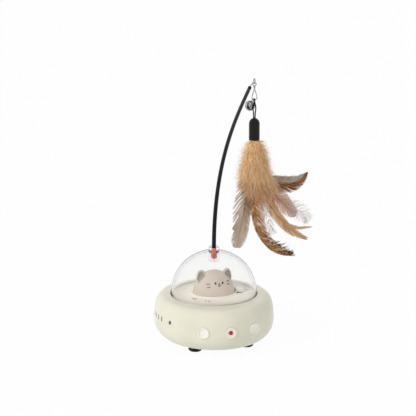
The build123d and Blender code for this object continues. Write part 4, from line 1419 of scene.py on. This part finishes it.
@dataclass
class Feather:
    """A feather whose barbs are modelled one by one along a curved shaft. Sizes are in millimetres.

    The layer is its depth in front of (-) or behind (+) the lure's axis, and the quill's azimuth
    is where it sits in the cap, in degrees.
    """

    node: str
    layer: float
    quill_azimuth: float
    seed: int
    vanes: Sequence[Vane]
    finishes: Sequence[Plumage]
    steps: int = 7
    samples: int = 240
    quill_ring: float = 2.1
    quill_rise: float = 1.2
    crowding: float = 0.35
    tone_share: float = 0.6
    lift: float = 0.15
    cup: float = 0.016
    warp: float = 0.8
    warp_scale: float = 0.18
    barb_taper: float = 0.62
    least_width: float = 0.09
    least_reach: float = 0.25
    run_power: float = 1.2
    reach_power: float = 0.92
    curl_turns: tuple[float, float] = (5.0, 6.0)
    curl_shares: tuple[float, float] = (0.5, 0.6)
    shaft_taper: float = 0.85
    foot: Vector = field(default_factory=cap_foot)
    strands: StrandMesh = field(default_factory=StrandMesh)

    def __post_init__(self) -> None:
        """Starts the random draws."""
        self.random = random.Random(self.seed)

    def shaft_points(self, vane: Vane) -> tuple[list[Vector], np.ndarray, float]:
        """Runs the shaft through a vane's stations.

        Args:
            vane: the vane.

        Returns:
            The shaft's points, the stations' values at them and its length.
        """
        rows = smooth_stations(vane.stations, self.samples)
        points = []
        for index, row in enumerate(rows):
            bow = math.sin(math.pi * index / (self.samples - 1)) * (1.0 if self.layer > 0 else -1.0)
            points.append(self.foot + Vector((row[0], self.layer + bow + vane.depth, row[1])))
        length = sum((after - before).length for before, after in zip(points, points[1:]))
        return points, rows, length

    def clump_centres(self, length: float, clump: float) -> list[float]:
        """Draws random places along the shaft that barbs draw toward.

        Args:
            length: the shaft's length.
            clump: the usual distance between two places.

        Returns:
            The places.
        """
        centres, place = [], self.random.uniform(0, clump)
        while place < length:
            centres.append(place)
            place += clump * self.random.uniform(0.6, 1.5)
        return centres or [length / 2]

    def barbs(self, vane: Vane, points: list[Vector], rows: np.ndarray, length: float, side: int) -> None:
        """Adds one side's barbs, each bent along the shaft's own curve to the vane's edge.

        Args:
            vane: the vane.
            points: the shaft's points.
            rows: the stations' values at the points.
            length: the shaft's length.
            side: -1 for the left or lower side, and 1 for the other.
        """
        centres = self.clump_centres(length, vane.clump)
        tones = [self.random.random() for _ in centres]
        split = vane.splits[0 if side < 0 else 1]
        reaches = rows[:, 2 if side < 0 else 3]
        places = np.linspace(0, length, len(points))
        count = int(length / vane.pitch)
        for number in range(count):
            share = (number + self.random.random()) / count
            if self.random.random() < vane.bare:
                continue
            start = share * length
            sweep = math.radians(vane.sweep[0] + (vane.sweep[1] - vane.sweep[0]) * share)
            end = start + float(np.interp(start, places, reaches)) / math.tan(sweep)
            crowd = self.random.uniform(0, self.crowding)
            if end > length:
                end = length - (length - start) * crowd
            rough = 1 + self.random.uniform(-1, 0.6) * vane.ragged
            reach = max(float(np.interp(end, places, reaches)) * rough, self.least_reach)
            nearest = min(range(len(centres)), key=lambda i: abs(centres[i] - end))
            pull = split * (centres[nearest] - end)
            shade = self.tone_share * tones[nearest] + (1 - self.tone_share) * self.random.random()
            wave = self.random.uniform(0, 2 * math.pi)
            lift = self.random.uniform(-self.lift, self.lift)
            width = vane.pitch * math.sin(sweep) * vane.fullness
            line, widths, uvs = [], [], []
            for step in range(self.steps + 1):
                t = step / self.steps
                swing = vane.curl * math.sin(wave + self.curl_turns[0] * t) * t
                along = start + (end - start) * t**self.run_power + pull * t**vane.gather + swing
                ripple = vane.curl * self.curl_shares[0] * math.cos(wave + self.curl_turns[1] * t) * t
                out = reach * t**self.reach_power + ripple
                middle, across = self.shaft_frame(points, length, along)
                deep = -self.cup * out**2 + lift * t + noise.noise(middle * self.warp_scale) * self.warp * t
                line.append(middle + across * side * out + Vector((0, deep + swing * self.curl_shares[1], 0)))
                widths.append(max(self.least_width, width * (1 - self.barb_taper * t * t)))
                uvs.append((share, 0.5 + side * 0.5 * t))
            self.strands.add(line, self.flats(line, 1), widths, uvs, shade, vane.kind, 0.3)

    def shaft_frame(self, points: list[Vector], length: float, along: float) -> tuple[Vector, Vector]:
        """Finds a place along the shaft, also past its ends.

        Args:
            points: the shaft's points.
            length: its length.
            along: how far along it.

        Returns:
            The place and the direction across the shaft.
        """
        last = len(points) - 1
        place = along / length * last
        at = min(max(int(place), 0), last - 1)
        ahead = points[at + 1] - points[at]
        across = ahead.normalized().cross(Vector((0, 1, 0))).normalized()
        return points[at] + ahead * (place - at), across

    def flats(self, line: Sequence[Vector], back: int) -> list[Vector]:
        """Finds the direction across a line at each point.

        Args:
            line: the line's points.
            back: 1 if strands on it open to the back, and -1 to the front.

        Returns:
            The directions.
        """
        last = len(line) - 1
        runs = [(line[min(step + 1, last)] - line[max(step - 1, 0)]).normalized() for step in range(last + 1)]
        return [run.cross(Vector((0, back, 0))).normalized() for run in runs]

    def shaft(self, vane: Vane, points: list[Vector], kind: int, start: Vector | None) -> None:
        """Adds the shaft as two crossed tapering strands, from the quill's seat if it has one.

        Args:
            vane: the vane.
            points: the shaft's points.
            kind: the shaft's material number.
            start: the quill's seat, if the shaft starts there.
        """
        line = list(points[:: self.samples // 16])
        if start is not None:
            line = [start, start + (line[0] - start) * 0.5] + line
        line.append(points[-1])
        last = len(line) - 1
        widths = [vane.shaft * (1 - self.shaft_taper * index / last) for index in range(last + 1)]
        uvs = [(index / last, 0.5) for index in range(last + 1)]
        for back in (1, -1):
            self.strands.add(line, self.flats(line, back), widths, uvs, 0.5, kind, 0.5)

    def build(self) -> None:
        """Builds the feather."""
        ring, turn = self.quill_ring, math.radians(self.quill_azimuth)
        quill = Vector((ring * math.cos(turn), ring * math.sin(turn), self.quill_rise))
        for number, vane in enumerate(self.vanes):
            points, rows, length = self.shaft_points(vane)
            for side in (-1, 1):
                self.barbs(vane, points, rows, length, side)
            if vane.shaft > 0:
                start = None if number else self.foot + quill
                self.shaft(vane, points, len(self.finishes), start)
        materials = [FINISHES.get(finish) for finish in (*self.finishes, SHAFT_HORN)]
        piece = self.strands.piece(self.node + "_barbs", materials)
        seat(piece, Body.LURE)
        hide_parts(self.node)


@dataclass(frozen=True)
class Growth:
    """One layer of down barbs: how many, how they stand off, their lengths and where they start."""

    name: str
    finish: Plumage
    share: float
    seed: int
    stand: float
    lengths: tuple[float, float]
    top: float = 0.0


GOLDEN = Plumage("down_golden", (255, 213, 154), (251, 197, 134), (255, 229, 184), soft=0.2, soft_reach=2.0)
PALE = Plumage("down_pale", (255, 230, 194), (255, 218, 174), (255, 242, 220), soft=0.2, soft_reach=2.0)
BROWN = Plumage("down_brown", (230, 172, 122), (196, 142, 98), (248, 204, 158), soft=0.2, soft_reach=2.0)


@dataclass
class Down:
    """The golden down round the quills: a soft core and thousands of curled barbs.

    Stations are (across, drop, half width, half depth) in millimetres from the cap's foot.
    """

    stations: tuple[Station, ...] = (
        (0.3, 0.6, 3.4, 3.4),
        (0.5, -3.0, 4.8, 4.4),
        (0.6, -8.0, 7.0, 6.0),
        (0.4, -16.0, 9.0, 7.2),
        (0.4, -25.0, 10.8, 8.2),
        (1.4, -34.0, 12.8, 9.0),
        (3.2, -41.0, 12.8, 8.6),
        (4.2, -46.0, 10.4, 7.0),
        (3.4, -50.0, 5.4, 4.6),
    )
    top_pole: Triple = (0.2, 0.0, 0.8)
    low_pole: Triple = (3.0, 0.0, -51.5)
    rings: int = 44
    around: int = 48
    fold: float = 0.16
    fold_scale: Triple = (0.35, 0.35, 0.16)
    ribs: float = 0.05
    rib_count: int = 7
    rib_lean: float = 0.15
    tone_scale: float = 260.0
    uv_span: tuple[float, float] = (40.0, 48.0)
    barb_steps: int = 5
    barb_length: float = 6.8
    barb_width: float = 0.32
    barb_taper: float = 0.8
    barb_bend: float = 1.5
    barb_wave: tuple[float, float] = (0.3, 5.0)
    barb_sway: tuple[float, float] = (0.5, 4.4)
    barb_flat: Triple = (0.3, 1.0, 0.0)
    density: float = 2.1
    hang: Triple = (0.1, 0.0, -1.0)
    stray: Triple = (0.42, 0.42, 0.25)
    spin: Triple = (6.28, 6.28, 6.28)
    layers: tuple[Growth, ...] = (
        Growth("down_barbs", GOLDEN, 1.0, 11, 0.42, (0.45, 0.95)),
        Growth("down_wisps", PALE, 0.42, 23, 1.5, (0.6, 1.3)),
        Growth("down_fringe", BROWN, 0.5, 37, 0.55, (0.6, 1.5), -35.0),
    )

    def core(self) -> Thing:
        """Builds the core with soft folds.

        Returns:
            The core.
        """
        foot = cap_foot()
        stations = [(drop, 0, x, wide, deep) for x, drop, wide, deep in self.stations]
        rows = smooth_stations(stations, self.rings)
        points, faces = [], []
        for drop, _, x, wide, deep in rows:
            for step in range(self.around):
                turn = 2 * math.pi * step / self.around
                place = Vector((x + wide * math.cos(turn), deep * math.sin(turn), drop))
                fold = noise.noise(Vector([part * scale for part, scale in zip(place, self.fold_scale)]))
                rib = math.sin(self.rib_count * turn + drop * self.rib_lean)
                grow = 1 + self.fold * fold + self.ribs * rib
                round_x, round_y = wide * grow * math.cos(turn), deep * grow * math.sin(turn)
                points.append(foot + Vector((x + round_x, round_y, drop)))
        last = (self.rings - 1) * self.around
        top, bottom = len(points), len(points) + 1
        points += [foot + Vector(self.top_pole), foot + Vector(self.low_pole)]
        for ring in range(0, last, self.around):
            below = ring + self.around
            for step in range(self.around):
                after = (step + 1) % self.around
                faces.append([ring + step, below + step, below + after, ring + after])
        for step in range(self.around):
            after = (step + 1) % self.around
            faces.append([top, step, after])
            faces.append([bottom, last + after, last + step])
        core = new_piece("down_core", points, faces, [FINISHES.get(GOLDEN)])
        mesh = core.data
        shades = [0.5 + 0.5 * noise.noise(vertex.co * self.tone_scale) for vertex in mesh.vertices]
        places = [mesh.vertices[loop.vertex_index].co / MM - foot for loop in mesh.loops]
        across, tall = self.uv_span
        uvs = [((place.x + across / 2) / across, -place.z / tall) for place in places]
        add_strand_data(mesh, np.array(uvs), shades)
        smooth(core)
        return core

    def barb_form(self) -> Thing:
        """Builds one curled barb along +Z from the origin.

        Returns:
            The barb.
        """
        strands = StrandMesh()
        shares = [step / self.barb_steps for step in range(self.barb_steps + 1)]
        line, widths = [], []
        for t in shares:
            bend = self.barb_bend * t**2 - self.barb_wave[0] * math.sin(self.barb_wave[1] * t)
            sway = self.barb_sway[0] * math.sin(self.barb_sway[1] * t) * t
            line.append(Vector((bend, sway, self.barb_length * t)))
            widths.append(self.barb_width * (1 - self.barb_taper * t))
        flat = [Vector(self.barb_flat).normalized()] * len(line)
        strands.add(line, flat, widths, [(0.5, t) for t in shares], 0.5)
        return strands.piece("down_barb_form")

    def grow(self, core: Thing, form: Thing, layer: Growth) -> Thing:
        """Grows a layer of barbs on a copy of the core.

        Args:
            core: the surface they grow on.
            form: the barb.
            layer: the layer.

        Returns:
            The barbs as a plain mesh piece.
        """
        kinds = {
            "Barb": "Object", "Density": "Float", "Seed": "Int", "Stand": "Float", "Shortest": "Float",
            "Longest": "Float", "Top": "Float",
        }
        nodes, given, wanted = geometry_tree(layer.name + "_growth", kinds)
        sizes = given.outputs
        height = nodes.split(nodes.add("GeometryNodeInputPosition").outputs[0])[2]
        below = nodes.add("FunctionNodeCompare", {0: height, 1: sizes["Top"]}, operation="LESS_THAN")
        points = nodes.add("GeometryNodeDistributePointsOnFaces", {
            "Mesh": sizes["Geometry"], "Selection": below.outputs[0], "Density": sizes["Density"],
            "Seed": sizes["Seed"],
        })
        hang = nodes.vector("SCALE", points.outputs["Normal"], sizes["Stand"])
        hang = nodes.vector("ADD", hang, self.hang)
        stray = nodes.draw("FLOAT_VECTOR", tuple(-part for part in self.stray), self.stray, 0)
        spin = nodes.draw("FLOAT_VECTOR", (0.0, 0.0, 0.0), self.spin, 3)
        turned = nodes.add("FunctionNodeEulerToRotation", {0: spin})
        inputs = {"Rotation": turned.outputs[0], "Vector": nodes.vector("ADD", hang, stray)}
        aligned = nodes.add("FunctionNodeAlignRotationToVector", inputs, axis="Z")
        info = nodes.add("GeometryNodeObjectInfo", {"Object": sizes["Barb"]})
        copies = nodes.add("GeometryNodeInstanceOnPoints", {
            "Points": points.outputs["Points"], "Instance": info.outputs["Geometry"],
            "Rotation": aligned.outputs[0],
            "Scale": nodes.draw("FLOAT", sizes["Shortest"], sizes["Longest"], 5),
        })
        inputs = {"Geometry": copies.outputs[0], "Name": "shade"}
        stored = nodes.add("GeometryNodeStoreNamedAttribute", inputs, data_type="FLOAT", domain="INSTANCE")
        nodes.feed(stored.inputs["Value"], nodes.draw("FLOAT", 0.0, 1.0, 0))
        end_tree(nodes, stored.outputs[0], given, wanted)
        return run_tree(stand(layer.name, core.data.copy()), nodes.tree, {
            "Barb": form,
            "Density": self.density / MM**2 * layer.share,
            "Seed": layer.seed,
            "Stand": layer.stand,
            "Shortest": layer.lengths[0],
            "Longest": layer.lengths[1],
            "Top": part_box("lure_cap")[0][2] + layer.top * MM,
            "Finish": FINISHES.get(layer.finish),
        })

    def build(self) -> None:
        """Builds the core, the golden barbs, the pale outer wisps and the brown fringe."""
        core = self.core()
        form = self.barb_form()
        pieces = [core] + [self.grow(core, form, layer) for layer in self.layers]
        bpy.data.objects.remove(form)
        for piece in pieces:
            smooth(piece)
            seat(piece, Body.LURE)
        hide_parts("down_tuft")


@dataclass
class Lure:
    """The cord loop, the down and the feathers.

    The cord's ends and its bow are (across, back, rise) in millimetres from the cap's top.
    """

    cord_diameter: float = 1.1
    cord_bend: float = 1.05
    cord_rises: Triple = (4.6, 9.2, 13.8)
    cord_front: tuple[tuple[float, float], ...] = ((-0.61, 0.0), (-0.66, 0.0), (-1.5, -0.1), (-0.2, -1.0))
    cord_back: tuple[tuple[float, float], ...] = ((0.61, 0.0), (0.66, 0.0), (1.5, 0.1), (0.6, 1.0))

    def cord(self) -> None:
        """Builds the cord loop over the snap link's bow."""
        low, high = box_mm("lure_cap")
        middle = Vector(((low.x + high.x) / 2, (low.y + high.y) / 2, high.z))
        rise = high.z
        apex = box_mm("loop_cord")[1].z - self.cord_diameter / 2
        heights = [rise, *[rise + step for step in self.cord_rises]]
        front = [(x, y, z) for (x, y), z in zip(self.cord_front, heights)]
        back = [(x, y, z) for (x, y), z in zip(self.cord_back, heights)]
        route = [*front, (0.0, -self.cord_bend, apex), (0.0, self.cord_bend, apex), *reversed(back)]
        curve = bpy.data.curves.new("cord_loop", "CURVE")
        curve.dimensions = "3D"
        spline = curve.splines.new("NURBS")
        spline.points.add(len(route) - 1)
        for point, (x, y, z) in zip(spline.points, route):
            point.co = ((middle.x + x) * MM, (middle.y + y) * MM, z * MM, 1.0)
        spline.order_u = 3
        spline.use_endpoint_u = True
        spline.resolution_u = 12
        curve.bevel_depth = self.cord_diameter / 2 * MM
        curve.bevel_resolution = 5
        curve.use_fill_caps = True
        curve.materials.append(FINISHES.get(CORD_BLACK))
        cord = stand("cord_loop", curve)
        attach(cord, Body.LURE.value)
        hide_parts("loop_cord")

    def feathers(self) -> list[Feather]:
        """Gives the six feathers, from the front to the back.

        Returns:
            The feathers, ready to build.
        """
        white_barbs = Plumage("down_white", (230, 221, 212), (190, 174, 160), (246, 243, 239))
        taupe = Vane(
            ((-5, -24, 2, 2), (-7.4, -42, 2.4, 5.4), (-9.6, -57, 2.8, 6.4), (-11.7, -71, 4.6, 7.4),
             (-13.8, -82, 6.6, 7.4), (-15, -88.6, 6.8, 6.8), (-15.6, -92.4, 5.6, 5.6), (-16, -95.2, 3, 3)),
            splits=(0.2, 0.12), clump=3.8, ragged=0.05, sweep=(50, 46),
        )
        taupe_strands = Vane(
            ((-6, -30, 7, 0.2), (-7.6, -43, 10, 0.2), (-9.6, -57, 11, 0.2), (-11.7, -71, 9.6, 0.2),
             (-13.4, -82, 7.2, 0.2)),
            pitch=0.34, splits=(0.85, 0), clump=4.4, ragged=0.14, sweep=(40, 30), gather=1.1, shaft=0,
            depth=-0.5, bare=0.1,
        )
        taupe_look = Plumage(
            "vane_taupe", (216, 194, 170), (126, 108, 90), (236, 222, 206), (180, 144, 110), (212, 190, 168),
            two_tone=0.8, tip_from=0.5,
        )
        speckled = Vane(
            ((1, -36, 3, 5), (-1.6, -52.4, 4.4, 8.4), (-1.2, -65.6, 3.4, 9.6), (1.8, -78.9, 2.6, 8.2),
             (7.3, -89.2, 2.2, 7.2), (15.1, -97.8, 2, 7), (24.3, -102.5, 1.8, 6.4), (33.5, -105, 0.8, 2.5)),
            splits=(0.1, 0.5), clump=2.6, ragged=0.16, sweep=(40, 20),
        )
        speckled_end = Vane(
            ((9, -91, 0.5, 6), (16, -98, 0.8, 9), (24.3, -102.6, 0.8, 9.6), (33.5, -104.8, 0.8, 5),
             (36.5, -105.2, 0.4, 1.5)),
            kind=1, pitch=0.5, splits=(0.5, 0.95), clump=3, ragged=0.35, sweep=(46, 34), shaft=0, depth=-0.9,
            fullness=1.4, gather=1.2, bare=0.1,
        )
        speckled_fluff = Vane(
            ((8, -56, 2, 3), (11, -66, 3.5, 4.5), (13.5, -77, 4, 5), (15.6, -87, 3, 4)),
            kind=2, pitch=0.55, splits=(0.3, 0.3), ragged=0.5, bare=0.3, curl=1, shaft=0, depth=2.4,
            fullness=0.8,
        )
        speckled_look = Plumage(
            "vane_speckled", (188, 124, 68), (104, 64, 34), (242, 196, 134), (190, 136, 84), (158, 108, 58),
            two_tone=0.4, flecks=0.9, bars=0.42, bar_count=20, tip_from=0.8,
        )
        dark_wisp = Plumage(
            "dark_wisp", (160, 108, 58), (88, 58, 34), (236, 192, 128), (62, 44, 32), (120, 84, 50),
            two_tone=0.95, two_tone_from=0.72, flecks=0.85, tip_from=0.9,
        )
        banded = Vane(
            ((7.8, -40, 3, 3), (10.5, -52.4, 4.8, 4.6), (17, -63.7, 5.2, 4.8), (24.3, -74.1, 5, 4.6),
             (31.6, -82.2, 4.4, 4), (39.9, -88.3, 3.4, 3.2), (49, -93.2, 1, 1.4)),
            splits=(0.1, 0.2), clump=4, ragged=0.08, sweep=(34, 18),
        )
        banded_strip = Vane(
            ((28, -77.5, 0.8, 1.6), (39, -82.2, 1.6, 1.9), (47, -82.6, 1.2, 1.4), (53.6, -82.2, 0.3, 0.3)),
            pitch=0.4, splits=(0.4, 0.4), ragged=0.2, sweep=(18, 10), shaft=0.3, depth=-0.6,
        )
        banded_look = Plumage(
            "vane_banded", (252, 202, 150), (204, 148, 98), (255, 220, 178), (212, 158, 108), (216, 178, 146),
            two_tone=0.4, tip_from=0.7,
        )
        mauve = Vane(
            ((10, -38, 2.6, 3.6), (17.4, -48.6, 6, 8.4), (25, -57.4, 7.4, 8.6), (31.6, -64.4, 7.2, 7.2),
             (35.6, -68.6, 6, 6), (37.6, -70.8, 4.2, 4.2), (39, -72.2, 1.2, 1.2)),
            splits=(0.15, 0.5), clump=3.6, ragged=0.08, sweep=(46, 28),
        )
        mauve_look = Plumage(
            "vane_mauve", (244, 196, 164), (196, 146, 114), (250, 220, 196), (216, 186, 164), (214, 188, 172),
            two_tone=0.5, tip_from=0.6,
        )
        dark = Vane(
            ((14, -37, 3, 3.2), (22.4, -41.2, 6.4, 6.6), (31, -43.6, 8.4, 7.8), (39.6, -42.6, 7.4, 6.8),
             (46, -38.6, 4.6, 4), (50.2, -34.2, 0.8, 0.8)),
            splits=(0.08, 0.12), clump=4.2, ragged=0.05, sweep=(48, 28), pitch=0.24, fullness=3,
        )
        dark_look = Plumage(
            "vane_dark", (168, 112, 68), (92, 60, 40), (206, 152, 100), (212, 196, 182), (96, 66, 46),
            two_tone=0.92, bars=0.25, bar_count=5, tip_from=0.74,
        )
        white = Vane(
            ((22, -54, 3, 3), (31.6, -60.9, 5, 5), (40.8, -67.5, 7, 7), (48.1, -74, 7, 7), (53.2, -80, 4, 4)),
            pitch=0.34, splits=(0.4, 0.4), clump=2.4, ragged=0.5, bare=0.3, curl=1.3, sweep=(58, 40),
            shaft=0.3, fullness=0.9,
        )
        speckled_parts = [speckled, speckled_end, speckled_fluff]
        speckled_looks = [speckled_look, dark_wisp, white_barbs]
        return [
            Feather("feather_taupe", -2.6, 200, 31, [taupe, taupe_strands], [taupe_look]),
            Feather("feather_speckled", -5.4, 260, 32, speckled_parts, speckled_looks),
            Feather("feather_banded", 0.2, 320, 33, [banded, banded_strip], [banded_look]),
            Feather("feather_mauve", 3.0, 20, 34, [mauve], [mauve_look]),
            Feather("feather_dark", 5.8, 80, 35, [dark], [dark_look]),
            Feather("feather_white", 8.6, 140, 36, [white], [white_barbs]),
        ]

    def build(self) -> None:
        """Builds the whole lure."""
        self.cord()
        Down().build()
        for feather in self.feathers():
            feather.build()


def main() -> None:
    """Builds the studio and every piece, in order."""
    logging.basicConfig(level=logging.INFO, format="%(name)s: %(message)s")
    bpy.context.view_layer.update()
    Studio().build()
    dress_cad_nodes()
    for part in (Housing(), Platform(), KittenHead(), Lure()):
        part.build()
        LOG.info("%s is built", type(part).__name__)


if __name__ == "__main__":
    main()
